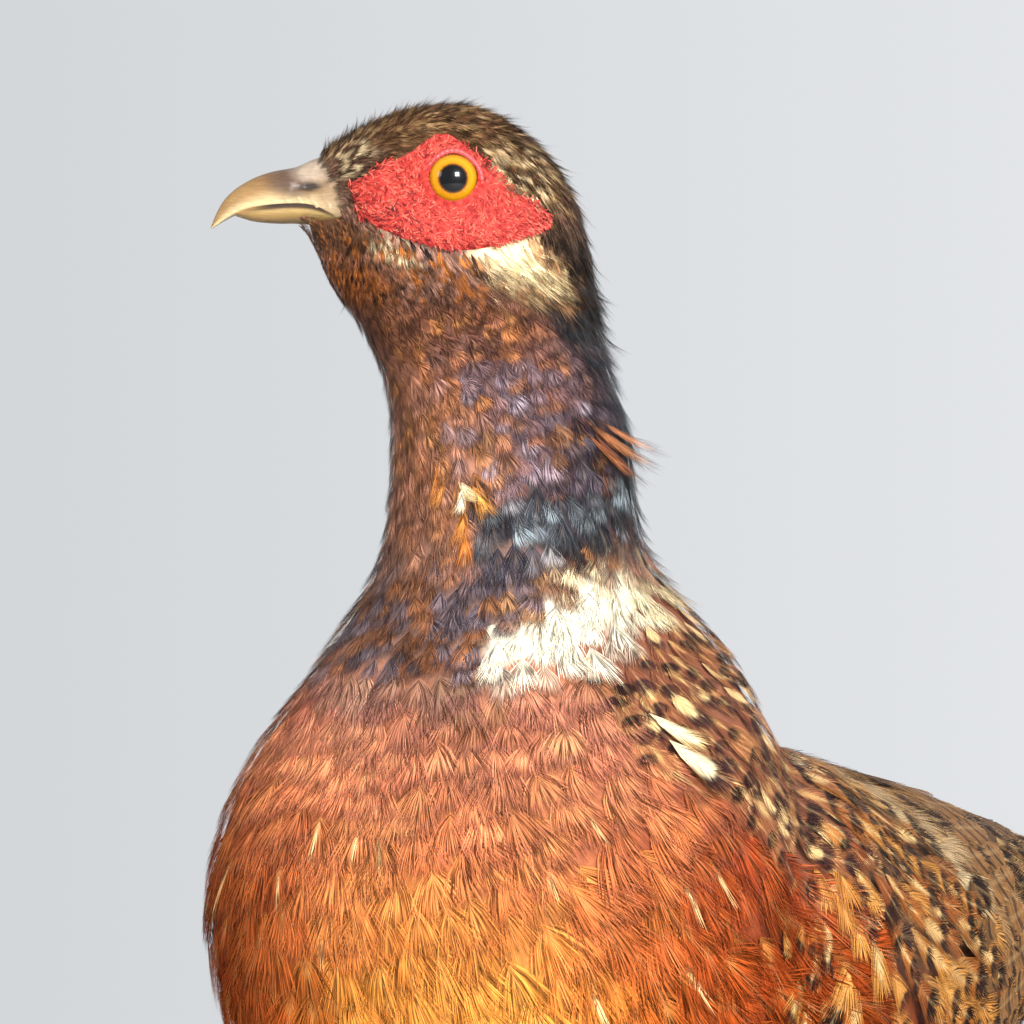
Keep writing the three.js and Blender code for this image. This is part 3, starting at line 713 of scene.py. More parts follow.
def lay_feathers(name, surface, feathers, barbs, spans, material, unwrap, seed, way=-1):
    """One coat piece: every feather of the arrays laid on the surface and joined. Besides
    its place, aim, length and half width, each has its form and its colours."""
    rng = np.random.default_rng(seed)
    count = len(feathers["u"])
    given = {**USUAL, **{key: value for key, value in feathers.items() if key not in COLOURED}}
    form = {key: np.broadcast_to(np.asarray(value, float), (count,)) for key, value in given.items()}
    u, v, length, half = (form[key] for key in ("u", "v", "length", "half"))
    walk = walk_over(surface, u, v, form["aim"], form["bend"], length, FEATHER_STEPS, way)
    shape = (count, 2, barbs, 2, spans + 1)

    def wide(values):
        """Numbers by feather, to reckon with every corner of its barbs."""
        return (form[values] if isinstance(values, str) else values).reshape(-1, 1, 1, 1, 1)

    def chance():
        """A random number for each barb."""
        return rng.normal(0, 1, (count, 2, barbs, 1, 1))

    sign = np.array([-1.0, 1.0]).reshape(1, 2, 1, 1, 1)
    edge = np.array([-0.5, 0.5]).reshape(1, 1, 1, 2, 1)
    reach = (np.arange(spans + 1) / spans).reshape(1, 1, 1, 1, -1)
    number = np.arange(barbs).reshape(1, 1, -1, 1, 1)
    fray, base, lean, stem, fan = (wide(key) for key in ("fray", "base", "lean", "stem", "fan"))
    sway = chance() * fray
    order = (number + 0.5 + edge * (1 - wide("taper") * reach ** wide("parting"))) / barbs
    order = np.clip(order, 0, 1)
    width = np.sqrt(np.clip(1 - order ** wide("point"), 0, 1)) * (stem + (1 - stem) * smooth(order, 0, 0.4))
    width = np.maximum(width, 0.04) * (1 - wide("slim") * order)
    width = width + fan * (1.02 - order - width)
    start = base + (0.97 - base) * order * (1 - 0.7 * fan)
    finish = start + lean * (1 - order) + 0.035 + sway * 0.5 / barbs
    stray = chance() * fray
    finish = finish + fan * (1 - 0.16 * (1 - order) ** 2 + 0.05 * stray - finish)
    short = 1 - np.abs(0.12 * chance()) * fray * (1 - fan)
    over_width = width * short * reach ** (0.9 - 0.25 * fan) + 0.04 * stray * fan * reach ** 2
    run = start + (finish - start) * reach ** (1.35 - 0.35 * fan)
    across = sign * over_width * wide(half)
    step = np.clip(run, 0, 1.05) * FEATHER_STEPS
    k = np.clip(step.astype(int), 0, FEATHER_STEPS - 1)
    rest = (step - k)[..., None]
    which = np.broadcast_to(np.arange(count).reshape(-1, 1, 1, 1, 1), shape)
    row = walk[k, which] * (1 - rest) + walk[k + 1, which] * rest
    place = row[..., 0] + across * row[..., 2]
    turn = row[..., 1] + across * row[..., 3]
    lift = -wide("depth") * np.clip(1 - run, 0, 1) ** wide("rise")
    lift = lift + wide("tip") * np.clip(run, 0, 1.1) ** 3
    lift = lift - wide("dome") * over_width ** 2 + wide("tilt") * sign * over_width
    lift = lift + chance() * fray * wide("ruffle") * reach ** 2
    lift = lift + wide("lift")
    points = surface(place, turn, lift).reshape(-1, 3)

    per = 2 * (spans + 1)
    first = np.arange(count * 2 * barbs).reshape(-1, 1) * per
    quads = []
    for j in range(spans):
        a, b, c, d = first + j, first + j + 1, first + spans + 2 + j, first + spans + 1 + j
        quads += [np.hstack([a, b, c]), np.hstack([a, c, d])]
    triangles = np.stack(quads, axis=1).reshape(-1, 3)
    corner = points[triangles]
    facing = np.cross(corner[:, 1] - corner[:, 0], corner[:, 2] - corner[:, 0])
    out = row[..., 4:7].reshape(-1, 3)[triangles[:, 0]]
    back = (facing * out).sum(-1) < 0
    triangles[back] = triangles[back][:, ::-1]

    def spread(values):
        return np.broadcast_to(values, shape).reshape(-1)

    root = unwrap(u, v)
    patch_u = spread(wide(root[:, 0]) + PATCH / 2 * sign * over_width)
    patch_v = spread(wide(root[:, 1]) + PATCH * (run - 0.5))
    maps = {
        "OFBake": np.column_stack([patch_u, patch_v]),
        "vane": np.column_stack([spread(0.5 + 0.5 * across / wide(half)), spread(run)]),
        "barb": np.column_stack([spread(order * (wide(length) + fan * (wide(half) - wide(length)))),
                                 spread(np.broadcast_to(reach, shape))]),
    }
    layers = {}
    for key in COLOURED:
        by_feather = feathers.get(key, NO_SPOT if key == "spot" else feathers["ground"])
        layers[key] = np.repeat(np.broadcast_to(by_feather, (count, 3)), 2 * barbs * per, axis=0)
    colours = {key: layers.pop(key) for key in ("ground", "centre", "fringe", "mark")}
    values = {"seed": np.repeat(rng.uniform(0, 1, count), 2 * barbs * per), **layers}
    made = piece_of(name, triangle_mesh(name, points, triangles, maps, colours, values), material)
    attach(made, "root")
    return made


# How a feather's markings are worked out in its shader: each row names a number and says
# how it comes from two others, or that it rises from 0 to 1 between two values of one.
MARGINS = (
    ("lane", "DIVIDE", "barb_x", "gap"), ("shift", "MULTIPLY", "seed", 91.0),
    ("lane", "ADD", "lane", "shift"),
    ("out", "MULTIPLY", "barb_y", 1.3), ("deep", "MULTIPLY", "seed", 37.0),
)
MARKINGS = (
    ("ragged", "SUBTRACT", "streak", 0.5), ("ragged", "MULTIPLY", "ragged", 0.5),
    ("margin", "ADD", "barb_y", "ragged"),
    # The centre ends, and the fringe begins, a little before or after its place.
    ("low", "SUBTRACT", "marks_x", 0.12), ("high", "ADD", "marks_x", 0.12),
    ("inner", "RISE", "margin", "low", "high"), ("inner", "SUBTRACT", 1.0, "inner"),
    ("rim", "SUBTRACT", 1.0, "marks_y"), ("low", "SUBTRACT", "rim", 0.1), ("high", "ADD", "rim", 0.1),
    ("outer", "RISE", "margin", "low", "high"), ("fringed", "RISE", "marks_y", 0.0, 0.05),
    ("outer", "MULTIPLY", "outer", "fringed"),
    # The mark is an oval round a place on the shaft.
    ("aside", "SUBTRACT", "vane_x", 0.5), ("aside", "ABSOLUTE", "aside", 0.0),
    ("aside", "MULTIPLY", "aside", 2.0),
    ("run", "MULTIPLY", "ragged", 0.25), ("run", "ADD", "vane_y", "run"),
    ("along", "SUBTRACT", "run", "spot_x"), ("along", "DIVIDE", "along", "spot_y"),
    ("across", "DIVIDE", "aside", "spot_z"), ("along", "MULTIPLY", "along", "along"),
    ("across", "MULTIPLY", "across", "across"), ("away", "ADD", "along", "across"),
    ("away", "SQRT", "away", 0.0),
    ("spotted", "RISE", "away", 0.75, 1.1), ("spotted", "SUBTRACT", 1.0, "spotted"),
    # The pale shaft shows towards the tip.
    ("quill", "MULTIPLY", "ragged", 0.12), ("quill", "ADD", "aside", "quill"),
    ("quill", "RISE", "quill", 0.02, 0.13), ("quill", "SUBTRACT", 1.0, "quill"),
    ("shown", "RISE", "vane_y", 0.3, 0.6), ("quill", "MULTIPLY", "quill", "shown"),
    ("shaft", "MULTIPLY", "quill", "marks_z"),
    # Single barbs are lighter or darker, partly their own tone and partly a painted highlight, and the root
    # lies in shade.
    ("strand", "RISE", "streak", 0.32, 0.68), ("strand", "SUBTRACT", "strand", 0.5),
    ("value", "MULTIPLY", "strand", "contrast"), ("value", "ADD", "value", 1.0),
    ("root", "RISE", "vane_y", 0.15, 0.5), ("root", "MULTIPLY", "root", 0.4), ("root", "ADD", "root", 0.6),
    ("value", "MULTIPLY", "value", "root"),
)
HEARTS = (
    ("low", "SUBTRACT", "spot_x", 0.06), ("ended", "RISE", "run", "low", "spot_x"),
    ("ended", "SUBTRACT", 1.0, "ended"), ("heart", "MULTIPLY", "inner", "ended"),
)
BARRING = (
    ("wave", "MULTIPLY", "barb_x", "bar_turn"), ("wave", "SINE", "wave", 0.0),
    ("wave", "ADD", "wave", "ragged"),
    ("barred", "RISE", "wave", 0.62, 0.85),
)
SHAFT_COLOUR = "#F4CE90"


def worked_out(nodes, known, rows):
    """Nodes for the rows of such a table, whose numbers join the known ones."""
    for name, rule, *terms in rows:
        terms = [known.get(term, term) for term in terms]
        if rule == "RISE":
            made = add_node(nodes, "ShaderNodeMapRange", dict(zip(("Value", "From Min", "From Max"), terms)),
                            interpolation_type="SMOOTHSTEP")
        else:
            made = add_node(nodes, "ShaderNodeMath", dict(enumerate(terms)), operation=rule)
        known[name] = made.outputs[0]


def feather_material(name, barb_gap, roughness, contrast, tint, gloss=0.1, bars=0.0, hearted=False):
    """Keratin feather: matt and silky, drawn into fine barbs that bend off a pale shaft.
    Every feather has a ground colour, a centre, a fringe at its margin and a mark near
    its tip, round the end of the centre on a hearted one. The barbs are 0.3 to 0.5 mm
    apart and are drawn a little coarser to show."""
    material, nodes, shader = new_material(name, Roughness=roughness, Specular_IOR_Level=gloss)
    shader.inputs["Specular Tint"].default_value = rgba(tint)
    known = {"gap": barb_gap, "contrast": contrast, "bar_turn": bars and 2 * math.pi / bars}
    for kind, key, output, layers in (("ShaderNodeUVMap", "uv_map", "UV", ("vane", "barb")),
                                      ("ShaderNodeAttribute", "attribute_name", "Vector", ("marks", "spot"))):
        for layer in layers:
            source = add_node(nodes, kind, **{key: layer}).outputs[output]
            split = add_node(nodes, "ShaderNodeSeparateXYZ", {"Vector": source})
            known.update({f"{layer}_{axis.lower()}": split.outputs[axis] for axis in "XYZ"})
    known["seed"] = add_node(nodes, "ShaderNodeAttribute", attribute_name="seed").outputs["Fac"]
    worked_out(nodes, known, MARGINS)
    place = add_node(nodes, "ShaderNodeCombineXYZ", {
        "X": known["lane"], "Y": known["out"], "Z": known["deep"]})
    streak = add_node(nodes, "ShaderNodeTexNoise", {
        "Vector": place.outputs["Vector"], "Scale": 1.0, "Detail": 1.0, "Roughness": 0.6})
    known["streak"] = streak.outputs["Fac"]
    worked_out(nodes, known, MARKINGS + (HEARTS if hearted else ()) + (BARRING if bars else ()))

    colour = add_node(nodes, "ShaderNodeAttribute", attribute_name="ground").outputs["Color"]
    laid = [("fringe", "outer"), ("mark", "spotted")]
    laid = laid + [("centre", "heart")] if hearted else [("centre", "inner")] + laid
    for layer, mask in laid + ([("mark", "barred")] if bars else []) + [(None, "shaft")]:
        top = rgba(SHAFT_COLOUR)
        if layer:
            top = add_node(nodes, "ShaderNodeAttribute", attribute_name=layer).outputs["Color"]
        colour = add_node(nodes, "ShaderNodeMix", {"Factor": known[mask], 6: colour, 7: top},
                          data_type="RGBA").outputs[2]
    scaled = add_node(nodes, "ShaderNodeVectorMath", {0: colour, "Scale": known["value"]}, operation="SCALE")
    dress(nodes, shader, scaled.outputs["Vector"], known["streak"], 0.7, barb_gap * 0.7 * MM)
    return material




# ---- Breast, flanks and belly ---------------------------------------------------------
# Broad rounded feathers, copper with a purple gloss above and golden below, lying down
# and back. Their purple gloss, the highlights along their barbs and a highlight over the
# gold on the near side are painted into their colour. Some of those on the middle of the
# breast show a pale shaft.
HALVES = {"left": (0, np.pi), "right": (np.pi, 2 * np.pi)}
rng = np.random.default_rng(11)
# No gloss of its own: the highlights along the barbs are painted through the strong strand contrast.
copper = feather_material("breast_feather", 0.42, 0.6, 1.6, "#FFD8B8", 0.0)


def columns(*parts):
    """Numbers by feather side by side, where one number stands for all."""
    return np.column_stack(np.broadcast_arrays(*parts))


def breast_gap(station, angle):
    return np.interp(station, (0, 3, 8, 9.5, 10.6, 11.4), (8, 8, 7.2, 6.2, 4.8, 3.8))


def on_breast(station, angle):
    side = folded_side(angle)
    back, down = wing_place(station, angle)
    top = np.interp(station, MANTLE_PLACES, MANTLE_SIDES)
    below_ring = station < np.interp(side, RING_SIDES, RING_LOW) - RING_GAP
    hidden = (back > 0.06) & (back < 1) & (down > 0.1) & (down < 0.82)
    return (side > top) & below_ring & ~hidden


for side_name, angles in HALVES.items():
    s, a = scatter(body_form, (0.3, 11.9), angles, breast_gap, on_breast, 60000, 21)
    count = len(s)
    up = body_form(s, a, np.zeros(count))[:, 2]
    jitter = rng.normal(0, 1, (count, 3))
    ground = ground_colour(s, a) * (1 + 0.13 * jitter[:, :1])
    ground = ground * (1 + jitter[:, 1:2] * np.array([0.0, 0.06, 0.02]))
    high = smooth(up, 235, 290)
    centre = over(ground, 0.3, "#E8A050")
    # Purple-brown fringes, more towards the top: partly the feathers' dark tips, partly their purple gloss
    # painted in.
    fringe = over(ground * 0.9, 0.08 + 0.3 * high, "#6A3E44")
    streaked = (rng.uniform(0, 1, count) < 0.12) * between(up, 190, 220, 275, 290)
    size = np.interp(breast_gap(s, a), (3.8, 8), (15, 27)) * (1 + 0.09 * rng.normal(0, 1, count))
    lay_feathers("coat_breast_" + side_name, body_form, {
        "u": s, "v": a, "aim": rng.normal(0, 0.11, count), "bend": rng.normal(0, 0.1, count),
        "length": size, "half": size * 0.37, "depth": size * 0.1,
        "tip": 0.12 + 0.12 * rng.normal(0, 1, count),
        "dome": size * 0.016, "tilt": rng.normal(0, 0.08, count), "base": 0.3, "fan": 1, "fray": 1.1,
        "point": 2.4, "lean": 0.52, "stem": 0.95, "ground": ground, "centre": centre, "fringe": fringe,
        "marks": columns(0.3 * (1 - high), 0.12 + 0.2 * high, 0.06 + 0.6 * streaked),
    }, 21, 3, copper, body_unwrap, 31)


# ---- Mantle, back and rump ------------------------------------------------------------
# Scaly feathers of the shoulders, maroon with a cream heart, a black mark round its end
# and a buff edge, then brown and buff ones over the back, longer and looser to the rump.
rng = np.random.default_rng(12)
scaly = feather_material("back_feather", 0.42, 0.6, 1.0, "#FFF0E0", 0.04, hearted=True)


def back_gap(station, angle):
    return np.interp(station, (0, 3, 6, 8.5, 10.4), (8, 7.5, 6.5, 4.8, 3.7))


def on_back(station, angle):
    side = folded_side(angle)
    back, down = wing_place(station, angle)
    top = np.interp(station, MANTLE_PLACES, MANTLE_SIDES) + 1
    below_ring = station < np.interp(side, RING_SIDES, RING_LOW) - RING_GAP
    hidden = (back > 0.1) & (back < 0.95) & (down > 0.12) & (down < 0.9)
    return (side <= top) & below_ring & ~hidden


s, a = scatter(body_form, (0.0, 11.2), (-1.75, 1.75), back_gap, on_back, 60000, 22)
s, a = np.append(s, (10.5, 10.25)), np.append(a, np.radians((89, 88)))
count = len(s)
pick = rng.uniform(0, 1, (count, 4))
fore = smooth(s, 5.8, 7.4)
maroon = ramp(pick[:, 0], (0, "#583028"), (0.5, "#8A5238"), (1, "#B47A4C"))
tawny = ramp(pick[:, 0], (0, "#745438"), (1, "#B0824E"))
ground = over(ground_colour(s, a), 0.65, over(tawny, fore, maroon))
cream = over(ramp(pick[:, 1], (0, "#A8743E"), (1, "#E2C088")), 1 - fore, "#A88050")
edge = over(ramp(pick[:, 2], (0, "#84543A"), (1, "#D4A468")), 1 - fore, "#AA8250")
hearted = (pick[:, 3] < 0.72) * (0.5 + 0.5 * fore)
blotched = rng.uniform(0, 1, count) < 0.75
size = np.interp(back_gap(s, a), (3.7, 5, 8), (15.5, 18, 29)) * (1 + 0.1 * rng.normal(0, 1, count))
size = size * (1 + 0.35 * (1 - smooth(s, 1.5, 3.2)))
tip = 0.15 + 0.15 * rng.normal(0, 1, count) + (1 - fore) * 0.8 * np.abs(rng.normal(0, 1, count))
half = size * np.interp(s, (0, 3, 6, 9), (0.24, 0.3, 0.31, 0.26))
aim = rng.normal(0, 0.12, count)
lift = np.zeros(count)
fan = np.interp(s, (2, 5, 7, 9), (1.0, 0.8, 0.6, 0.8))
# The last two stand out on the left shoulder: long and cream, the lower with a black end.
hearted[-2:], blotched[-2:], pick[-2:], fan[-2:] = 1, (False, True), (0.0, 0.8, 0.9, 0), 0.45
size[-2:], half[-2:], tip[-2:], lift[-2:], aim[-2:] = (25, 28), (4.2, 6.0), 0.6, (1.7, 2.3), (-0.3, -0.12)
ground[-2:] = linear("#D4B07A")
cream[-2:] = linear("#F0DAB0")
lay_feathers("coat_back", body_form, {
    "u": s, "v": a, "aim": aim, "bend": rng.normal(0, 0.12, count), "lift": lift,
    "length": size, "half": half, "depth": size * 0.11, "tip": tip, "dome": size * 0.016,
    "tilt": rng.normal(0, 0.1, count), "base": 0.28, "fan": fan, "fray": 1.0, "point": 2.4, "lean": 0.46,
    "ruffle": 0.14, "ground": ground, "centre": cream, "fringe": edge,
    "mark": ramp(pick[:, 1], (0, "#1C1414"), (1, "#3A2426")),
    "marks": columns(-0.3 + hearted * (0.4 + 0.45 * pick[:, 1]), 0.05 + 0.2 * pick[:, 2], 0.15),
    "spot": columns(np.where(blotched, 0.74 + 0.12 * pick[:, 0], 2.0), 0.1 + 0.08 * pick[:, 1],
                    0.55 + 0.35 * pick[:, 2]),
}, 19, 3, scaly, body_unwrap, 32)


# ---- Neck and ring --------------------------------------------------------------------
# Small close feathers: purple-grey with violet patches painted for their sheen, tipped with
# orange at the sides, brown in front, black behind with their green gloss painted into the
# fringes, then a black band and the white ring, open at the front.
rng = np.random.default_rng(13)
glossy = feather_material("neck_feather", 0.36, 0.5, 1.65, "#D4C8F0", 0.12)


def neck_gap(station, angle):
    return np.interp(station, (10.2, 11.4, 12.5, 14.5, 16), (3.6, 3.2, 2.9, 2.2, 1.5))


def on_neck(station, angle):
    side = folded_side(angle)
    return (station >= np.interp(side, RING_SIDES, RING_LOW) - RING_GAP) & (station < 15.9)


for side_name, angles in HALVES.items():
    s, a = scatter(body_form, (10.0, 16.0), angles, neck_gap, on_neck, 60000, 23)
    count = len(s)
    side = folded_side(a)
    pick = rng.uniform(0, 1, (count, 3))
    ground = ground_colour(s, a)
    ring = ring_mask(s, side, 0.05) * (side < ring_end(a) - 2)
    cluster = 0.5 + 0.5 * np.sin(2.6 * s + 4 * np.sin(3.1 * a + s)) * np.sin(7 * a + 1.3 * s)
    band = between(s, 12.1, 12.25, 12.85, 13.0) * (1 - smooth(side, 138, 150))
    below = between(s, 11.6, 11.75, 12.1, 12.25) * (1 - smooth(side, 130, 145)) * (1 - ring)
    plain = (1 - ring) * (1 - band)
    orange = (pick[:, 0] < 0.15 + 0.5 * cluster) * smooth(side, 50, 85) * plain * smooth(s, 11.9, 12.4)
    orange = orange * (1 - smooth(s, 15.0, 15.8)) * (0.35 + 0.65 * pick[:, 2])
    ground = over(ground, orange * 0.85, ramp(pick[:, 1], (0, "#7E4A2C"), (0.6, "#A86A38"), (1, "#CC8C4C")))
    # Violet patches painted for the neck's purple sheen.
    violet_painted_sheen = (pick[:, 0] > 0.3 + 0.5 * cluster) * plain * smooth(side, 45, 75) * (1 - smooth(side, 130, 160))
    violet_painted_sheen = violet_painted_sheen * smooth(s, 12.2, 12.8) * (1 - smooth(s, 14.2, 15)) * (0.4 + 0.6 * pick[:, 2])
    ground = over(ground, violet_painted_sheen * 0.8, ramp(pick[:, 1], (0, "#4A4048"), (0.6, "#786A76"), (1, "#A89AA2")))
    ground = over(ground, band, ramp(pick[:, 0], (0, "#2A2626"), (0.45, "#3C3C40"), (1, "#7E888C")))
    ground = over(ground, below * smooth(side, 60, 80),
                  ramp(pick[:, 0], (0, "#5E3A2A"), (0.7, "#8A5E3E"), (1, "#E0C8A0")))
    dusk = between(s, 12.9, 13.1, 13.6, 14.1) * (1 - smooth(side, 82, 106))
    ground = ground * (1 - 0.6 * dusk[:, None])
    bib = smooth(side, 95, 125) * smooth(s, 11.2, 11.5) * (1 - smooth(s, 12.1, 12.5)) * (1 - ring)
    ground = over(ground, bib * 0.8,
                  ramp(pick[:, 0], (0, "#565460"), (0.55, "#625862"), (0.62, "#84502E"), (1, "#96592E")))
    ground = ground * np.maximum(0.3, 1 + 0.28 * rng.normal(0, 1, (count, 1)) * (1 - 0.8 * ring[:, None]))
    # Dark fringes, teal towards the back of the neck, where the green gloss is painted in.
    fringe = over(ground * 0.22, (1 - smooth(side, 30, 60)) * (1 - ring), "#22343A")
    fringe = over(fringe, ring, ground * 0.97)
    size = np.interp(neck_gap(s, a), (1.5, 3.6), (6.5, 12.5)) * (1 + 0.12 * rng.normal(0, 1, count))
    hind = 1 - smooth(side, 20, 55)
    tip = 0.15 + 0.2 * rng.normal(0, 1, count) + hind * 2.1 * np.abs(rng.normal(0, 1, count))
    lay_feathers("coat_neck_" + side_name, body_form, {
        "u": s, "v": a, "aim": rng.normal(0, 0.16, count), "bend": rng.normal(0, 0.12, count),
        "length": size * (1 + 0.4 * hind), "half": size * 0.34, "depth": size * 0.13, "tip": tip,
        "dome": size * 0.02, "tilt": rng.normal(0, 0.06, count), "base": 0.26, "fan": 0.95, "fray": 1.1,
        "taper": 0.92, "point": 2.6, "lean": 0.56, "stem": 0.95, "parting": 2.2, "ruffle": 0.14,
        "ground": ground, "centre": ground * 0.8, "fringe": fringe,
        "marks": columns(0.4, 0.12 + 0.16 * pick[:, 1] * (1 - ring), 0.05),
    }, 18, 2, glossy, body_unwrap, 33)

# A worn place on the left of the neck, where pale down and soft orange feathers stand
# out, and a loose tuft behind: station, side in degrees, aim, length, half width, rise.
LOOSE = (
    (13.0, 150, 0.5, 9, 1.6, 1.6, "#C8823C"), (12.95, 146, -0.5, 9, 1.5, 2.6, "#E6CFA0"),
    (12.88, 143, 0.2, 8, 1.7, 2.4, "#F0E2C0"), (12.8, 148, -0.9, 8, 1.4, 2.8, "#E0C48C"),
    (12.9, 138, -0.2, 11, 2.8, 1.8, "#D89444"), (12.7, 144, 0.3, 12, 2.6, 1.2, "#B8702E"),
    (12.5, 147, 0.1, 13, 2.8, 1.0, "#B0662A"), (13.2, 152, 0.3, 13, 1.6, 1.2, "#B46C2C"),
    (13.6, 74, -0.42, 24, 1.9, 5.0, "#A8683E"), (13.5, 70, -0.5, 27, 2.0, 7.0, "#B87C54"),
    (13.45, 77, -0.36, 25, 1.8, 5.5, "#9A5C3A"), (13.55, 66, -0.58, 25, 1.8, 8.5, "#B07048"),
    (13.4, 72, -0.34, 22, 1.8, 4.0, "#7E4A34"),
)
s, turn_out, aim, size, half, rise = np.array([row[:6] for row in LOOSE]).T
ground = np.array([linear(row[6]) for row in LOOSE])
tuft = (size > 20)[:, None]
lay_feathers("coat_neck_loose", body_form, {
    "u": s, "v": np.radians(turn_out), "aim": aim, "bend": 0.3 * aim, "length": size, "half": half,
    "depth": 1.2, "tip": rise, "lift": 0.6, "dome": 0.1, "tilt": 0.2, "base": 0.12, "fan": 0.75, "fray": 1.3,
    "taper": 0.95, "point": 1.8, "lean": 0.6, "ruffle": 0.3, "parting": 1.6, "ground": ground,
    "centre": ground * 1.1, "fringe": np.where(tuft, linear("#2A1C18"), ground * 0.8),
    "marks": np.where(tuft, (0.3, 0.3, 0.1), (0.3, 0.2, 0.2)),
}, 14, 3, glossy, body_unwrap, 36)




# ---- Head coat ------------------------------------------------------------------------
# Narrow hair-like feathers swept back from the bill: streaked brown and buff over the
# crown, black behind the eye, a cream fan over the ear, maroon and chestnut below. They
# are smallest next to the bill and leave the red skin round the eye bare.
rng = np.random.default_rng(14)
EYE_CENTRE = (12.8, 398.4)
EYE_RADIUS = 6.6
EYE_OUT = 10.4
WATTLE_OUTLINE = (
    (35.6, 397), (29, 401.3), (22, 404.5), (15.5, 408.6), (9.5, 405), (3, 398), (-7.5, 390), (-1, 386),
    (10, 383.5), (20, 385), (27, 387.4), (33.2, 391),
)
outline_row = np.array(WATTLE_OUTLINE + WATTLE_OUTLINE[:1], float)
WATTLE_EDGE = along_spans(spans_of(outline_row), np.linspace(0, len(WATTLE_OUTLINE), 96, endpoint=False))


def edge_distance(forward, up):
    """How far inside the outline of the bare skin a point of the head's side lies."""
    x, y = forward.ravel()[:, None], up.ravel()[:, None]
    ax, ay = WATTLE_EDGE.T
    bx, by = np.roll(WATTLE_EDGE, -1, axis=0).T
    t = np.clip(((x - ax) * (bx - ax) + (y - ay) * (by - ay)) / ((bx - ax) ** 2 + (by - ay) ** 2), 0, 1)
    near = np.hypot(x - ax - t * (bx - ax), y - ay - t * (by - ay)).min(axis=1)
    crossing = ((ay > y) != (by > y)) & (x < (bx - ax) * (y - ay) / (by - ay + 1e-12) + ax)
    return np.where(crossing.sum(axis=1) % 2 == 1, near, -near).reshape(forward.shape)


def head_gap(station, angle):
    forward = head_plane(bare_form(station, angle))
    return np.interp(forward, (-15, 5, 25, 38, 46), (0.9, 0.8, 0.7, 0.6, 0.5))


def on_head(station, angle):
    place = bare_form(station, angle)
    forward, up = head_plane(place), place[..., 2]
    side = folded_side(angle)
    bare = (edge_distance(forward, up) > 0.2) & (side > 25) & (side < 155)
    seat = forward > np.interp(up, (388.0, 389.4, 391, 396.8, 404.5), (46, 40, 38.2, 39.5, 45))
    return (station >= 15.75) & ~bare & ~(seat & (side < 146))


silky = feather_material("head_feather", 0.3, 0.55, 1.2, "#FFF0E4", 0.1)
for side_name, angles in HALVES.items():
    s, a = scatter(body_form, (15.6, 22.0), angles, head_gap, on_head, 160000, 24)
    count = len(s)
    place = bare_form(s, a)
    forward, up, side = head_plane(place), place[:, 2], folded_side(a)
    ground = ground_colour(s, a)
    crown = smooth(up, 392, 402) * (1 - smooth(side, 50, 75))
    pick = rng.uniform(0, 1, count)
    streaks = ramp(pick, (0, "#1C1412"), (0.4, "#46301E"), (0.7, "#765038"), (0.9, "#9C7452"), (1, "#C8A680"))
    ground = over(ground, crown * 0.85, streaks)
    above = patch(forward, up, (2, 403), (8, 6.5)) * (pick > 0.58)
    above = np.maximum(above, patch(forward, up, (37, 402), (4, 3)) * (pick > 0.5))
    ground = over(ground, above * 0.85, "#E2C89C")
    cheek = smooth(forward, 2, 12) * (1 - smooth(up, 386, 392))
    ground = over(ground, cheek * (rng.uniform(0, 1, count) < 0.3), "#A8622E")
    ground = over(ground, cheek * (rng.uniform(0, 1, count) < 0.2), "#241A1C")
    ground = ground * np.maximum(0.3, 1 + 0.27 * rng.normal(0, 1, (count, 1)))
    behind = patch(forward, up, (-13.5, 384), (5.5, 14)) * (pick < 0.85)
    ground = over(ground, behind * 0.85, "#201816")
    fringe = over(ground * 0.75, crown * (pick > 0.75), "#B89460")
    size = np.interp(head_gap(s, a), (0.5, 0.9), (3.4, 9.5)) * (1 + 0.15 * rng.normal(0, 1, count))
    crest = (1 - smooth(forward, -17, -8)) * smooth(up, 374, 384)
    size = size * (1 + 0.5 * patch(forward, up, (-1, 379), (10, 8)) + 0.7 * crest)
    ear = patch(forward, up, (-1, 380), (10, 7))
    chin = 1 - smooth(forward, 36, 40) * smooth(side, 110, 125)
    size = size * (0.6 + 0.4 * chin)
    throat = smooth(side, 118, 145)
    lay_feathers("coat_head_" + side_name, body_form, {
        "u": s, "v": a, "aim": rng.normal(0, 0.16, count) - 0.6 * ear * np.sign(np.sin(a)),
        "bend": rng.normal(0, 0.15, count), "length": size, "half": size * 0.14,
        "depth": np.minimum(size * 0.16, 0.9),
        "tip": chin * (0.25 + np.abs(rng.normal(0, 1, count))
                       * (0.35 + 1.0 * crest + 0.7 * crown + 0.8 * throat)),
        "dome": size * 0.03, "tilt": rng.normal(0, 0.1, count), "fan": 1, "base": 0.15,
        "fray": 1.0, "taper": 1.0, "point": 1.6, "lean": 0.72, "stem": 0.9, "ruffle": 0.14,
        "ground": ground, "fringe": fringe, "marks": (0.0, 0.3, 0.1),
    }, 5, 2, silky, body_unwrap, 34)


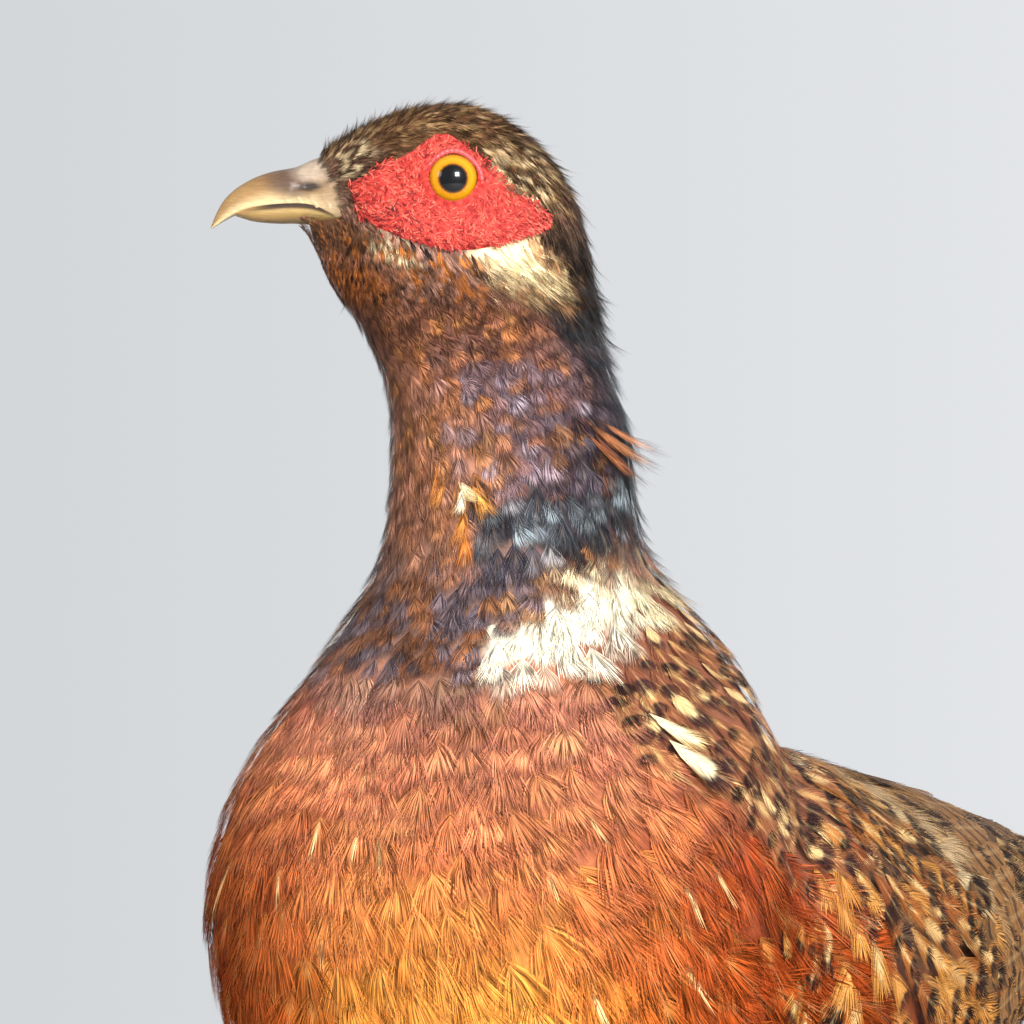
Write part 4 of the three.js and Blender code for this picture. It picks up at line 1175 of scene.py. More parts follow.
# ---- Bare face ------------------------------------------------------------------------
# The red skin round each eye: velvety, dried and dyed on the mount, covered with short
# soft papillae that swirl round the eye and lean back, with dark bristles at its front.
def side_place(forward, up, side):
    """The station and angle at which the head's side has a point of its plane."""
    def flat(station, angle):
        point = bare_form(station, angle)
        return np.column_stack([head_plane(point), point[:, 2]])

    step = 0.01
    near_s, near_a = (grid.ravel() for grid in np.meshgrid(
        np.linspace(15, LAST, 70), np.linspace(0.25, 2.9, 50), indexing="ij"))
    aim = np.column_stack([forward.ravel(), up.ravel()])
    best = ((aim[:, None] - flat(near_s, near_a)[None]) ** 2).sum(-1).argmin(1)
    s, a = near_s[best], near_a[best]
    for _ in range(4):
        here = flat(s, a)
        miss = here - aim
        ds, da = (flat(s + step, a) - here) / step, (flat(s, a + step) - here) / step
        det = ds[:, 0] * da[:, 1] - ds[:, 1] * da[:, 0]
        det = np.where(np.abs(det) < 1e-3, 1e-3, det)
        s = np.clip(s - np.clip((miss[:, 0] * da[:, 1] - miss[:, 1] * da[:, 0]) / det, -0.5, 0.5), 15, LAST)
        a = np.clip(a - np.clip((ds[:, 0] * miss[:, 1] - ds[:, 1] * miss[:, 0]) / det, -0.2, 0.2), 0.1, 3.04)
    return s.reshape(forward.shape), (a if side > 0 else 2 * np.pi - a).reshape(forward.shape)


def lumps_at(forward, up):
    """The low lumps of the bare skin, between minus one and one."""
    return np.sin(forward * 2.1 + 3 * np.sin(up * 0.9)) * np.sin(up * 2.4 + 2 * np.sin(forward * 0.7))


LID_RADIUS = 5.6
WATTLE_COLOURS = ((0, "#7A1516"), (0.35, "#B02C26"), (0.75, "#CA4034"), (1, "#DE6C58"))
velvet, nodes, shader = new_material(
    "velvety_skin", Roughness=0.6, Specular_IOR_Level=0.25, Sheen_Weight=0.06, Sheen_Roughness=0.4,
    Subsurface_Weight=0.1, Subsurface_Scale=0.0015)
painted = add_node(nodes, "ShaderNodeAttribute", attribute_name="ground")
where = add_node(nodes, "ShaderNodeTexCoord")
grain = add_node(nodes, "ShaderNodeTexNoise", {
    "Vector": where.outputs["Object"], "Scale": 2200.0, "Detail": 3.0})
depth = add_node(nodes, "ShaderNodeMapRange", {"Value": grain.outputs["Fac"], "To Min": 0.72, "To Max": 1.2})
deep = add_node(nodes, "ShaderNodeVectorMath", {
    0: painted.outputs["Color"], "Scale": depth.outputs["Result"]}, operation="SCALE")
dress(nodes, shader, deep.outputs["Vector"], grain.outputs["Fac"], 0.8, 0.0003)

PAPILLAE = 5200
OUTLINE_STEPS, REACH_STEPS = 180, 30
edge_x, edge_y = WATTLE_EDGE.T - np.array(EYE_CENTRE)[:, None]
edge_turn = np.arctan2(edge_y, edge_x) % (2 * np.pi)
ranked = np.argsort(edge_turn)
rng = np.random.default_rng(15)
for side_name, side in SIDES.items():
    turn = even_turns(OUTLINE_STEPS)
    outer = np.interp(turn, edge_turn[ranked], np.hypot(edge_y, edge_x)[ranked], period=2 * np.pi)
    reach = np.linspace(0, 1, REACH_STEPS)[:, None]
    radius = LID_RADIUS - 0.4 + (outer + 0.5 - LID_RADIUS + 0.4) * reach
    forward = EYE_CENTRE[0] + radius * np.cos(turn)
    up = EYE_CENTRE[1] + radius * np.sin(turn)
    lumps = lumps_at(forward, up)
    lift = 0.75 + 0.22 * lumps - 1.5 * smooth(reach, 0.8, 1.0) + 0.9 * (1 - smooth(reach, 0.0, 0.16))
    grid = body_form(*side_place(forward, up, side), lift)
    mesh = mesh_of("wattle_base_" + side_name, grid.reshape(-1, 3), grid_faces(REACH_STEPS, OUTLINE_STEPS))
    if side < 0:
        mesh.flip_normals()
    redness = 0.45 + 0.3 * lumps.ravel() + 0.1 * rng.normal(0, 1, lumps.size)
    paint(mesh, "ground", ramp(redness, *WATTLE_COLOURS))
    base = piece_of("wattle_base_" + side_name, mesh, velvet)
    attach(base, "root")
    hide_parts("wattle_" + side_name)

    x = rng.uniform(-8, 39, PAPILLAE * 5)
    y = rng.uniform(383, 409, PAPILLAE * 5)
    inside = edge_distance(x, y)
    ring = np.hypot(x - EYE_CENTRE[0], y - EYE_CENTRE[1])
    good = (inside > -0.1) & (ring > LID_RADIUS + 0.1)
    x, y, ring = x[good][:PAPILLAE], y[good][:PAPILLAE], ring[good][:PAPILLAE]
    s, a = side_place(x, y, side)
    count = len(x)
    # They point back and down, and round the eye next to it, up over it and down below.
    way_round = np.sign(y - EYE_CENTRE[1] + 2)
    round_x, round_y = (y - EYE_CENTRE[1]) / ring, -(x - EYE_CENTRE[0]) / ring
    near_eye = 1 - smooth(ring, 7, 15)
    swirl = np.sin(x * 0.45 + 1.3) * np.cos(y * 0.5)
    aim_x = -0.55 + (round_x * way_round) * near_eye * 1.2 + 0.25 * rng.normal(0, 1, count)
    aim_y = -0.28 + (round_y * way_round) * near_eye * 1.2 + 0.5 * swirl + 0.25 * rng.normal(0, 1, count)
    toward = np.stack([-aim_x * math.sin(HEAD_TURN), -aim_x * math.cos(HEAD_TURN), aim_y], -1)
    lumps = lumps_at(x, y)
    ground = ramp(np.clip(0.46 + 0.36 * lumps + 0.32 * rng.normal(0, 1, count), 0, 1), *WATTLE_COLOURS)
    dark = patch(x, y, (29, 391), (10, 6)) * (rng.uniform(0, 1, count) < 0.13)
    ground = over(ground, dark, "#5A1C1C")
    size = rng.uniform(1.2, 2.3, count) * (1 + 0.6 * dark)
    lay_feathers("wattle_papillae_" + side_name, body_form, {
        "u": s, "v": a, "aim": aim_of(body_form, s, a, toward), "bend": rng.normal(0, 0.5, count),
        "length": size, "half": 0.21, "depth": 0.1, "lift": 0.78 + 0.2 * lumps,
        "tip": rng.uniform(0.0, 0.22, count),
        "dome": 0.1, "fray": 0.5, "taper": 0.8, "point": 1.6, "lean": 0.6, "ruffle": 0.1,
        "ground": ground, "marks": (0.0, 0.0, 0.0),
    }, 2, 2, velvet, body_unwrap, 35)


# ---- Eyes -----------------------------------------------------------------------------
# Glass eyes blown for the taxidermist: a black pupil and an amber iris, streaked towards
# the pupil and dark at its rim, under clear glass, set in a tight ring of red lid.
def head_point(forward, up, left):
    return turned(np.asarray(forward, float), np.asarray(up, float), np.asarray(left, float), HEAD_TURN)


glass, nodes, shader = new_material(
    "painted_glass", Roughness=0.3, IOR=1.5, Coat_Weight=1.0, Coat_Roughness=0.015, Coat_IOR=1.33,
    Specular_IOR_Level=0.05)
IRIS_BANDS = ((2.95, "#08080B"), (3.25, "#5A3208"), (3.6, "#BC7A10"), (4.4, "#D08E16"), (5.0, "#C47E12"),
              (5.3, "#A86A10"), (5.6, "#3A2208"), (5.9, "#120A06"))
iris = add_node(nodes, "ShaderNodeSeparateXYZ", {
    "Vector": add_node(nodes, "ShaderNodeAttribute", attribute_name="iris").outputs["Vector"]})
round_iris = add_node(nodes, "ShaderNodeCombineXYZ", {"X": iris.outputs["Y"], "Y": iris.outputs["Z"]})
threads = add_node(nodes, "ShaderNodeTexNoise", {
    "Vector": round_iris.outputs["Vector"], "Scale": 14.0, "Detail": 3.0})
wander = add_node(nodes, "ShaderNodeMath", {0: threads.outputs["Fac"], 1: 0.35}, operation="MULTIPLY")
shaded = add_node(nodes, "ShaderNodeMath", {0: iris.outputs["X"], 1: wander.outputs[0]}, operation="ADD")
inner = add_node(nodes, "ShaderNodeMapRange", {
    "Value": shaded.outputs[0], "From Min": 0.0, "From Max": EYE_RADIUS})
bands = add_node(nodes, "ShaderNodeValToRGB", {"Fac": inner.outputs["Result"]})
stops = bands.color_ramp.elements
stops.remove(stops[1])
stops[0].position, stops[0].color = IRIS_BANDS[0][0] / EYE_RADIUS, rgba(IRIS_BANDS[0][1])
for band_radius, code in IRIS_BANDS[1:]:
    stops.new(band_radius / EYE_RADIUS).color = rgba(code)
dress(nodes, shader, bands.outputs["Color"])


def mottled_material(name, dark, light, scale, detail, strength=0.0, **values):
    """A material mottled between two colours, with a relief where it has a strength."""
    material, nodes, shader = new_material(name, **values)
    where = add_node(nodes, "ShaderNodeTexCoord")
    grain = add_node(nodes, "ShaderNodeTexNoise", {
        "Vector": where.outputs["Object"], "Scale": scale, "Detail": detail}).outputs["Fac"]
    tones = add_node(nodes, "ShaderNodeMix", {"Factor": grain, 6: rgba(dark), 7: rgba(light)},
                     data_type="RGBA")
    dress(nodes, shader, tones.outputs[2], strength and grain, strength, 0.0003)
    return material


lid_skin = mottled_material("lid_skin", "#7E1E26", "#DC5A56", 2600.0, 2.0,
                            Roughness=0.45, Specular_IOR_Level=0.4)

LID_STEPS, LID_SECTION = 144, 14
for side_name, side in SIDES.items():
    polar, turn = ring_grid(np.concatenate([np.linspace(0, 0.9, 46), np.linspace(0.98, np.pi, 20)]), 72)
    across = EYE_RADIUS * np.sin(polar)
    out = EYE_RADIUS * np.cos(polar)
    grid = head_point(EYE_CENTRE[0] + across * np.cos(turn), EYE_CENTRE[1] + across * np.sin(turn),
                      side * (EYE_OUT + out))
    mesh = closed_rings("eye_" + side_name, grid)
    radius_mm = np.where(polar < np.pi / 2, across, EYE_RADIUS + 1)
    note(mesh, "iris", np.stack([radius_mm, np.cos(turn), np.sin(turn)], -1))
    eye = piece_of("eye_glass_" + side_name, mesh, glass)
    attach(eye, "root")
    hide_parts("eye_" + side_name)
    around, section = ring_grid(even_turns(LID_STEPS), LID_SECTION)
    beads = 1 + 0.16 * np.cos(around * 34)
    ring_radius = LID_RADIUS + 0.25 + 0.62 * np.cos(section)
    stretch = 1 + 0.05 * np.cos(2 * around)
    grid = head_point(EYE_CENTRE[0] + ring_radius * stretch * np.cos(around),
                      EYE_CENTRE[1] + ring_radius / stretch * np.sin(around),
                      side * (EYE_OUT + 3.55 + 0.5 * beads * np.sin(section)))
    mesh = mesh_of("lid_" + side_name, grid.reshape(-1, 3),
                   grid_faces(LID_STEPS, LID_SECTION, round_rows=True))
    middle = head_point(EYE_CENTRE[0], EYE_CENTRE[1], side * (EYE_OUT + 9)) * MM
    top = max(mesh.polygons, key=lambda face: -(face.center - Vector(middle)).length)
    if top.normal.dot(Vector(middle) - top.center) < 0:
        mesh.flip_normals()
    lid = piece_of("eye_lid_" + side_name, mesh, lid_skin)
    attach(lid, "root")


# ---- Bill -----------------------------------------------------------------------------
# Horn, grown in thin layers that flake at the root: brown along the ridge, cream below
# it, with a hooked tip over the shorter lower jaw. It reaches back under the feathers.
horn, nodes, shader = new_material("bill_horn", Roughness=0.36, Specular_IOR_Level=0.45, Coat_Weight=0.12,
                                   Coat_Roughness=0.25)
painted = add_node(nodes, "ShaderNodeAttribute", attribute_name="ground")
grown = add_node(nodes, "ShaderNodeAttribute", attribute_name="growth")
fibres = add_node(nodes, "ShaderNodeTexNoise", {
    "Vector": grown.outputs["Vector"], "Scale": 1.0, "Detail": 5.0, "Roughness": 0.65})
depth = add_node(nodes, "ShaderNodeMapRange", {
    "Value": fibres.outputs["Fac"], "From Min": 0.25, "From Max": 0.75, "To Min": 0.64, "To Max": 1.1})
deep = add_node(nodes, "ShaderNodeVectorMath", {
    0: painted.outputs["Color"], "Scale": depth.outputs["Result"]}, operation="SCALE")
dress(nodes, shader, deep.outputs["Vector"], fibres.outputs["Fac"], 0.45, 0.0003)

CULMEN = ((27, 404.5), (33, 405.6), (38, 405), (43.3, 403.7), (47.5, 401.9), (52.6, 400.9), (56, 399.8),
          (58.8, 398.4), (61.3, 396.7), (63.5, 394.4), (65.2, 391.3), (66.3, 388.5))
MOUTH = ((27, 386), (31, 387.5), (34, 388.9), (38.7, 390.6), (43.7, 392.8), (48.6, 393.2), (56.8, 392.6),
         (61, 391.3), (63.6, 389.9), (66.1, 388.3))
LOWER_RIM = ((27, 386), (34, 389.3), (38.7, 391), (43.7, 393.2), (48.6, 393.6), (56.5, 392.9), (60.8, 391.6))
CHIN = ((27, 383), (30, 384.5), (34.5, 387.2), (37.7, 388.2), (42.8, 389.0), (47.8, 389.4), (51.2, 389.4),
        (56.8, 389.9), (60.6, 391.0))
NOSTRIL = (44.2, 397.2)


def jaw_line(points, t):
    rows = np.array(points, float)
    return along_spans(spans_of(rows), t * (len(rows) - 1))


def jaw(name, top, bottom, width, node, upper):
    """A jaw of the bill between its ridge and its edge, as rings from its root to its tip."""
    t = np.linspace(0, 1, 110) ** 0.9
    turn = even_turns(64)
    ridge, rim = jaw_line(top, t), jaw_line(bottom, t)
    half = width * np.interp(ridge[:, 0], (27, 33, 38, 43, 50, 56, 60, 63, 65.4, 66.3),
                             (0.8, 1.16, 1.16, 1.04, 0.88, 0.7, 0.52, 0.36, 0.18, 0.08))
    swing = np.abs((turn + np.pi) % (2 * np.pi) - np.pi) / (0.8 * np.pi)
    rise = 0.5 + 0.5 * np.cos(np.pi * np.minimum(swing, 1))
    across = np.sqrt(1 - rise ** 1.7) * np.where(swing > 1, (1.25 - swing) / 0.25, 1)
    across = np.sign(np.sin(turn)) * across
    rise = rise if upper else 1 - rise
    ridge_x, ridge_z, rim_x, rim_z = (line[:, None, k] for line in (ridge, rim) for k in (0, 1))
    forward, up = rim_x + (ridge_x - rim_x) * rise, rim_z + (ridge_z - rim_z) * rise
    light = (up - rim_z) / np.maximum(0.5, ridge_z - rim_z)
    left = half[:, None] * across
    if upper:
        facing = np.sign(np.sin(turn)) * np.minimum(1, np.abs(np.sin(turn)) * 2)
        shield = patch(forward, up, (42.5, 401), (5.5, 3), 0.3)
        hollow = patch(forward, up, NOSTRIL, (3.2, 1.1), 0.6)
        flakes = smooth(np.sin(forward * 2.2 + 1.5 * np.sin(up * 1.3)), 0.5, 0.9)
        flakes = flakes * (1 - smooth(forward, 46, 56))
        edge_roll = patch(forward, up, (46, 393.2), (15, 1.1))
        left = left + facing * (0.7 * shield - 0.8 * hollow + 0.16 * flakes) + facing * 0.28 * edge_roll
        colours = ramp(light, (0, "#A8895A"), (0.12, "#D4BC8C"), (0.42, "#B8986A"), (0.62, "#8A6844"),
                       (1, "#6C4C34"))
        shades = (
            (smooth(forward, 50, 62) * smooth(light, 0.2, 0.6), "#A07C4C"),
            (patch(forward, up, (47.5, 398.2), (5.5, 3.4)) * 0.85, "#544036"),
            (patch(forward, up, (42.3, 401), (5.5, 2.8)), "#B4A08A"),
            (patch(forward, up, (37, 396), (6, 6)) * 0.8, "#94785A"),
            # Painted shade in the nostril's opening.
            (patch(forward, up, NOSTRIL, (2.6, 0.8)), "#241812"),
        )
    else:
        # Lower jaw darker towards its top: painted shadow for the shade under the upper jaw's overhang.
        colours = ramp(light, (0, "#8A6A3C"), (0.35, "#B08C50"), (0.66, "#C4A468"), (0.8, "#4A3420"),
                       (1, "#20160E"))
        shades = ((smooth(forward, 52, 61), "#A8824A"), (1 - smooth(forward, 36, 42), "#B89A64"))
    for mask, code in shades:
        colours = over(colours, mask, code)
    mesh = closed_rings(name, head_point(forward, up, left))
    paint(mesh, "ground", colours.reshape(-1, 3))
    note(mesh, "growth", np.stack([forward * 0.25, up * 2.6, left * 1.2], -1))
    made = piece_of(name, mesh, horn)
    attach(made, "root")
    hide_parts(node)


jaw("bill_upper_horn", CULMEN, MOUTH, 7.3, "bill_upper", True)
jaw("bill_lower_horn", LOWER_RIM, CHIN, 6.4, "bill_lower", False)


# ---- Wings ----------------------------------------------------------------------------
# The wing is folded against the side: small scaly coverts at the wrist, chestnut with
# cream hearts and black crescents, grey-buff greater coverts, then the long brown barred
# quills of the arm and hand, laid one over the other towards the tail.
# Each row of quills: how many, where back, from and to down, length, half width, level, and
# whether they are the greater coverts.
QUILL_ROWS = (
    (11, 0.36, 0.06, 0.95, 46, 8.5, 1.2, 1.0),
    (12, 0.44, 0.05, 0.98, 84, 9.5, 0.4, 0.0),
    (9, 0.5, 0.3, 1.0, 118, 7.5, -0.6, 0.0),
    (8, 0.34, 0.0, 0.3, 92, 11, 1.6, 0.0),
)


def wing_form(side):
    """The surface of one folded wing, by how far back and how far down on it."""
    def form(back, down, lift):
        edges = along_spans(WING_SPANS, back * (len(WING_TOP) - 1))
        angle = np.radians(edges[..., 1] + (edges[..., 2] - edges[..., 1]) * down)
        return body_form(WING_FROM - (WING_FROM - WING_TO) * back, side * angle, lift)
    return form


def wing_unwrap(back, down):
    return np.stack([0.02 + 0.96 * np.clip(down, 0, 1), 0.02 + 0.96 * np.clip(back, 0, 1)], -1)


coverts = feather_material("wing_covert", 0.42, 0.6, 1.0, "#FFF0E0", 0.04, hearted=True)
quills = feather_material("wing_quill", 0.5, 0.55, 0.8, "#FFF0E0", 0.05, bars=9.0)
rng = np.random.default_rng(16)


def covert_gap(back, down):
    return np.interp(back, (0, 0.3, 0.6), (5.0, 6.2, 7.6))


def on_coverts(back, down):
    return back < 0.56 + 0.18 * (1 - smooth(down, 0.45, 0.8)) + 0.03 * np.sin(down * 11)


for side_name, side in SIDES.items():
    form = wing_form(side)
    u, v = scatter(form, (-0.03, 0.78), (0.0, 1.0), covert_gap, on_coverts, 16000, 41)
    count = len(u)
    pick = rng.uniform(0, 1, (count, 5))
    beyond = u - 0.35 - 0.63 * (v - 0.35)
    chestnut = 1 - smooth(beyond, -0.12, -0.03)
    pale = between(beyond, -0.06, -0.03, 0.0, 0.03)
    ground = over(ramp(pick[:, 0], (0, "#63432A"), (1, "#94683C")), chestnut,
                  ramp(pick[:, 0], (0, "#7E4226"), (0.5, "#A8642E"), (1, "#C68A42")))
    ground = over(ground, pale * 0.8, ramp(pick[:, 1], (0, "#A88864"), (1, "#D4BC92")))
    cream = over(ramp(pick[:, 2], (0, "#A06A34"), (1, "#DCB67A")), 1 - chestnut, "#AC8858")
    fringe = over(ramp(pick[:, 3], (0, "#8A5028"), (1, "#CC9250")), 1 - chestnut, "#B08C5C")
    hearted = (pick[:, 4] < 0.55) * (1 - pale)
    blotched = rng.uniform(0, 1, count) < 0.1 + 0.65 * (1 - pale)
    size = np.interp(u, (0, 0.3, 0.6), (20, 26, 33)) * (1 + 0.1 * rng.normal(0, 1, count))
    lay_feathers("wing_coverts_" + side_name, form, {
        "u": u, "v": v, "aim": np.interp(u, (0, 0.3, 0.7), (0.75, 0.5, 0.1)) + rng.normal(0, 0.12, count),
        "bend": np.interp(u, (0, 0.5), (-0.25, 0)) + rng.normal(0, 0.1, count),
        "length": size, "half": size * 0.25, "depth": size * 0.1, "tip": 0.2 + 0.15 * rng.normal(0, 1, count),
        "lift": np.interp(u, (0, 0.12, 0.4, 0.7), (0.2, 0.8, 1.7, 2.8)), "dome": size * 0.015,
        "tilt": rng.normal(0, 0.08, count), "fray": 1.0, "base": 0.26, "fan": 0.6 + 0.4 * pale,
        "point": 2.4, "lean": 0.46, "ruffle": 0.14, "ground": ground, "centre": cream, "fringe": fringe,
        "mark": ramp(pick[:, 2], (0, "#15100E"), (1, "#33201A")),
        "marks": columns(-0.3 + hearted * (0.42 + 0.32 * pick[:, 3]), 0.05 + 0.2 * pick[:, 2], 0.15),
        "spot": columns(np.where(blotched, 0.74 + 0.12 * pick[:, 0], 2.0), 0.1 + 0.08 * pick[:, 1],
                        0.5 + 0.4 * pick[:, 4]),
    }, 17, 3, coverts, wing_unwrap, 42, way=1)

    rows = []
    for number, start, low, high, length, half, level, greater in QUILL_ROWS:
        order = np.arange(number) / (number - 1)
        rows.append(columns(start + 0.03 * order, low + (high - low) * order,
                            length * (1 - 0.1 * np.abs(order - 0.4)), half,
                            level + 0.5 * (1 - order), greater))
    u, v, length, half, level, greater = np.vstack(rows).T
    count = len(u)
    pick = rng.uniform(0, 1, count)
    ground = over(ramp(pick, (0, "#64442A"), (1, "#85603C")), greater * 0.7, "#8E6236")
    lay_feathers("wing_quills_" + side_name, form, {
        "u": u, "v": v, "aim": np.interp(v, (0, 0.5, 1), (0.06, 0.0, -0.07)) + rng.normal(0, 0.02, count),
        "length": length, "half": half, "depth": length * 0.02, "tip": 0.8, "lift": level, "dome": 1.0,
        "tilt": 0.35 * side, "fray": 0.22, "taper": 0.35, "parting": 6, "point": 3.0, "lean": 0.16,
        "slim": 0.25, "ruffle": 0.08, "ground": ground, "centre": ground * 0.85,
        "fringe": over(ground, 0.6, "#A87C4C"), "mark": linear("#463020"), "marks": (0.3, 0.1, 0.12),
    }, 70, 3, quills, wing_unwrap, 43, way=1)
    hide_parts("wing_" + side_name)


# ---- Tail -----------------------------------------------------------------------------
# Eighteen long tapering feathers, the middle pair longest, stacked like a closed fan that
# slopes down to either side. Buff-brown, barred with black, with loose chestnut edges.
TAIL_ROOT = -266.6
TAIL_TOP = 221.5
TAIL_DROOP = math.tan(math.radians(12))
TAIL_SAG = 9.0
TAIL_ROOF = math.tan(math.radians(20))
TAIL_LENGTHS = (415, 372, 325, 278, 232, 188, 150, 118, 92)
TAIL_HALF = 15.0
TAIL_SPLAY = 0.55
TAIL_STEP = 0.85


def tail_form(run, out, lift):
    """The roof-like surface of the tail, by how far along it and how far out."""
    y = NECK_Y - TAIL_ROOT + run
    slope = TAIL_TOP - run * TAIL_DROOP - TAIL_SAG * (run / TAIL_LENGTHS[0]) ** 2
    return np.stack([out, y, slope - np.abs(out) * TAIL_ROOF + lift], -1)


def tail_unwrap(run, out):
    return np.stack([0.5 + out / 60, 0.02 + 0.9 * (run + 20) / 435], -1)


barred = feather_material("tail_feather", 0.5, 0.5, 0.6, "#FFF4E8", 0.12, bars=21.0)
rng = np.random.default_rng(17)
order = np.repeat(np.arange(len(TAIL_LENGTHS)), 2)
hand = np.tile([1.0, -1.0], len(TAIL_LENGTHS))
count = len(order)
length = np.array(TAIL_LENGTHS, float)[order] + np.where((order == 0) & (hand < 0), -9.0, 0.0)
out = hand * np.where(order == 0, 1.5, 1.2 * order + 3)
ground = ramp(rng.uniform(0, 1, count), (0, "#A98A5E"), (1, "#96784E"))
lay_feathers("tail_feathers", tail_form, {
    "u": np.full(count, -4.0), "v": out, "aim": hand * np.radians(TAIL_SPLAY) * order,
    "bend": hand * 0.01, "length": length, "half": TAIL_HALF * (1 - 0.02 * order),
    "lift": 0.9 - TAIL_STEP * order - 0.5 * (hand < 0) * (order == 0),
    "dome": np.where(order == 0, -3.0, 0.4), "fray": 0.25,
    "taper": 0.45, "parting": 5, "point": 4.0, "lean": 0.06, "slim": 0.5, "base": 0.02, "ruffle": 0.2,
    "ground": ground, "centre": over(ground, 0.5, "#8A7A52"), "fringe": over(ground, 0.8, "#A8602F"),
    "mark": linear("#1F1814"), "marks": (0.4, 0.3, 0.7),
}, 130, 4, barred, tail_unwrap, 51, way=1)
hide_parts("tail_middle", "tail_left", "tail_right")


# ---- Thighs ---------------------------------------------------------------------------
# Soft brown feathers down to the hock, shorter and closer towards the joint.
thigh_spans = limb_spans(THIGH)
downy = feather_material("thigh_feather", 0.5, 0.6, 0.8, "#FFF0E0", 0.08)
rng = np.random.default_rng(18)


def thigh_unwrap(along, angle):
    return np.stack([0.02 + 0.96 * (angle / (2 * np.pi) % 1), 0.02 + along / 4.3], -1)


for side_name, side in SIDES.items():
    def thigh_form(along, angle, lift, side=side):
        return limb_form(thigh_spans, along, angle, lift, side)

    u, v = scatter(thigh_form, (0.1, 3.95), (0, 2 * np.pi), lambda along, angle: 7.5 - 1.1 * along,
                   lambda along, angle: along > -1, 15000, 61)
    count = len(u)
    ground = ramp(u, (0.8, "#8A5428"), (2.4, "#6E4426"), (4, "#5A3A22"))
    ground = ground * (1 + 0.15 * rng.normal(0, 1, (count, 1)))
    size = np.interp(u, (0, 2, 4), (24, 17, 8)) * (1 + 0.1 * rng.normal(0, 1, count))
    lay_feathers("coat_thigh_" + side_name, thigh_form, {
        "u": u, "v": v, "aim": rng.normal(0, 0.14, count), "bend": rng.normal(0, 0.12, count),
        "length": size, "half": size * 0.34, "depth": size * 0.1, "tip": 0.3 + 0.2 * rng.normal(0, 1, count),
        "dome": size * 0.05, "tilt": rng.normal(0, 0.2, count), "fray": 0.8, "lean": 0.5, "ruffle": 0.14,
        "ground": ground, "centre": ground * 1.15, "fringe": ground * 0.6, "marks": (0.3, 0.2, 0.15),
    }, 12, 3, downy, thigh_unwrap, 62, way=1)


# ---- Legs -----------------------------------------------------------------------------
# Horny plates over the bare shank and toes: two rows of broad overlapping ones down the
# back of the shank, two rows of narrower ones down its front, and one row along the
# underside of each toe, which ends at a curved claw.
def plate_tree(material):
    """Geometry Nodes that set one curved plate on every point of a path."""
    tree = bpy.data.node_groups.new("scale_plates", "GeometryNodeTree")
    for label in ("Geometry", "Object", "Float"):
        tree.interface.new_socket({"Object": "Plate", "Float": "Size"}.get(label, label), in_out="INPUT",
                                  socket_type="NodeSocket" + label)
    tree.interface.new_socket("Geometry", in_out="OUTPUT", socket_type="NodeSocketGeometry")
    given = add_node(tree, "NodeGroupInput")
    plate = add_node(tree, "GeometryNodeObjectInfo", {"Object": given.outputs["Plate"]})
    along, facing, breadth = (
        add_node(tree, "GeometryNodeInputNamedAttribute", {"Name": name}, data_type="FLOAT_VECTOR").outputs[0]
        for name in ("along", "facing", "breadth"))
    first = add_node(tree, "FunctionNodeAlignEulerToVector", {"Vector": facing}, axis="Z")
    second = add_node(tree, "FunctionNodeAlignEulerToVector", {
        "Rotation": first.outputs["Rotation"], "Vector": along}, axis="Y", pivot_axis="Z")
    scaled = add_node(tree, "ShaderNodeVectorMath", {0: breadth, "Scale": given.outputs["Size"]},
                      operation="SCALE")
    placed = add_node(tree, "GeometryNodeInstanceOnPoints", {
        "Points": given.outputs["Geometry"], "Instance": plate.outputs["Geometry"],
        "Rotation": second.outputs["Rotation"], "Scale": scaled.outputs["Vector"]})
    real = add_node(tree, "GeometryNodeRealizeInstances", {"Geometry": placed.outputs["Instances"]})
    dressed = add_node(tree, "GeometryNodeSetMaterial", {
        "Geometry": real.outputs["Geometry"], "Material": material})
    add_node(tree, "NodeGroupOutput", {"Geometry": dressed.outputs["Geometry"]})
    return tree


# Dry horny scale: grey-brown, waxy, darker between the plates.
scale_horn = mottled_material("leg_scale", "#6E6458", "#A89C88", 420.0, 4.0, 0.4,
                              Roughness=0.42, Specular_IOR_Level=0.45)

PLATE_ROWS, PLATE_COLUMNS = 9, 13
grid_v, grid_u = np.meshgrid(np.linspace(-1, 1, PLATE_ROWS), np.linspace(-1, 1, PLATE_COLUMNS),
                             indexing="ij")
round_edge = np.sqrt(np.clip(1 - np.abs(grid_v) ** 3, 0, 1))
plate_points = np.stack([np.sin(grid_u * 1.05) * (0.75 + 0.25 * round_edge), grid_v * 0.62,
                         np.cos(grid_u * 1.05) - 1 + 0.1 * (1 - grid_v ** 2) + 0.08 * grid_v], -1)
plate_mesh = mesh_of("plate", plate_points.reshape(-1, 3) / MM,
                     grid_faces(PLATE_ROWS, PLATE_COLUMNS, round_columns=False))
plate_object = piece_of("plate_pattern", plate_mesh)


PLATE_SINK = 0.15
UNDERSIDE = -1.5708


def limb_plates(spans, from_to, pitch, turns, side, breadth, upright):
    """Points along a limb for its plates, with their directions and sizes."""
    fine = np.linspace(*from_to, 200)
    centre = along_spans(spans, fine)
    run = length_along(centre[:, :3])
    rows = []
    for index, turn in enumerate(turns):
        stops = np.arange(pitch * 0.5 * (1 + index), run[-1], pitch)
        place = np.interp(stops, run, fine)
        point, raised = (limb_form(spans, place, np.full(len(place), turn), np.full(len(place), lift), 1)
                         for lift in (-PLATE_SINK, 1.0))
        ahead = along_spans(spans, place + 0.02)[:, :3] - along_spans(spans, place)[:, :3]
        size = along_spans(spans, place)[:, 3] * breadth
        for one, way_out, way_on, big in zip(point, raised - point, ahead, size):
            rows.append((one * (side, 1, 1), way_out * (side, 1, 1), way_on * (side, 1, 1),
                         (big, pitch * upright, big * 0.75)))
    return rows


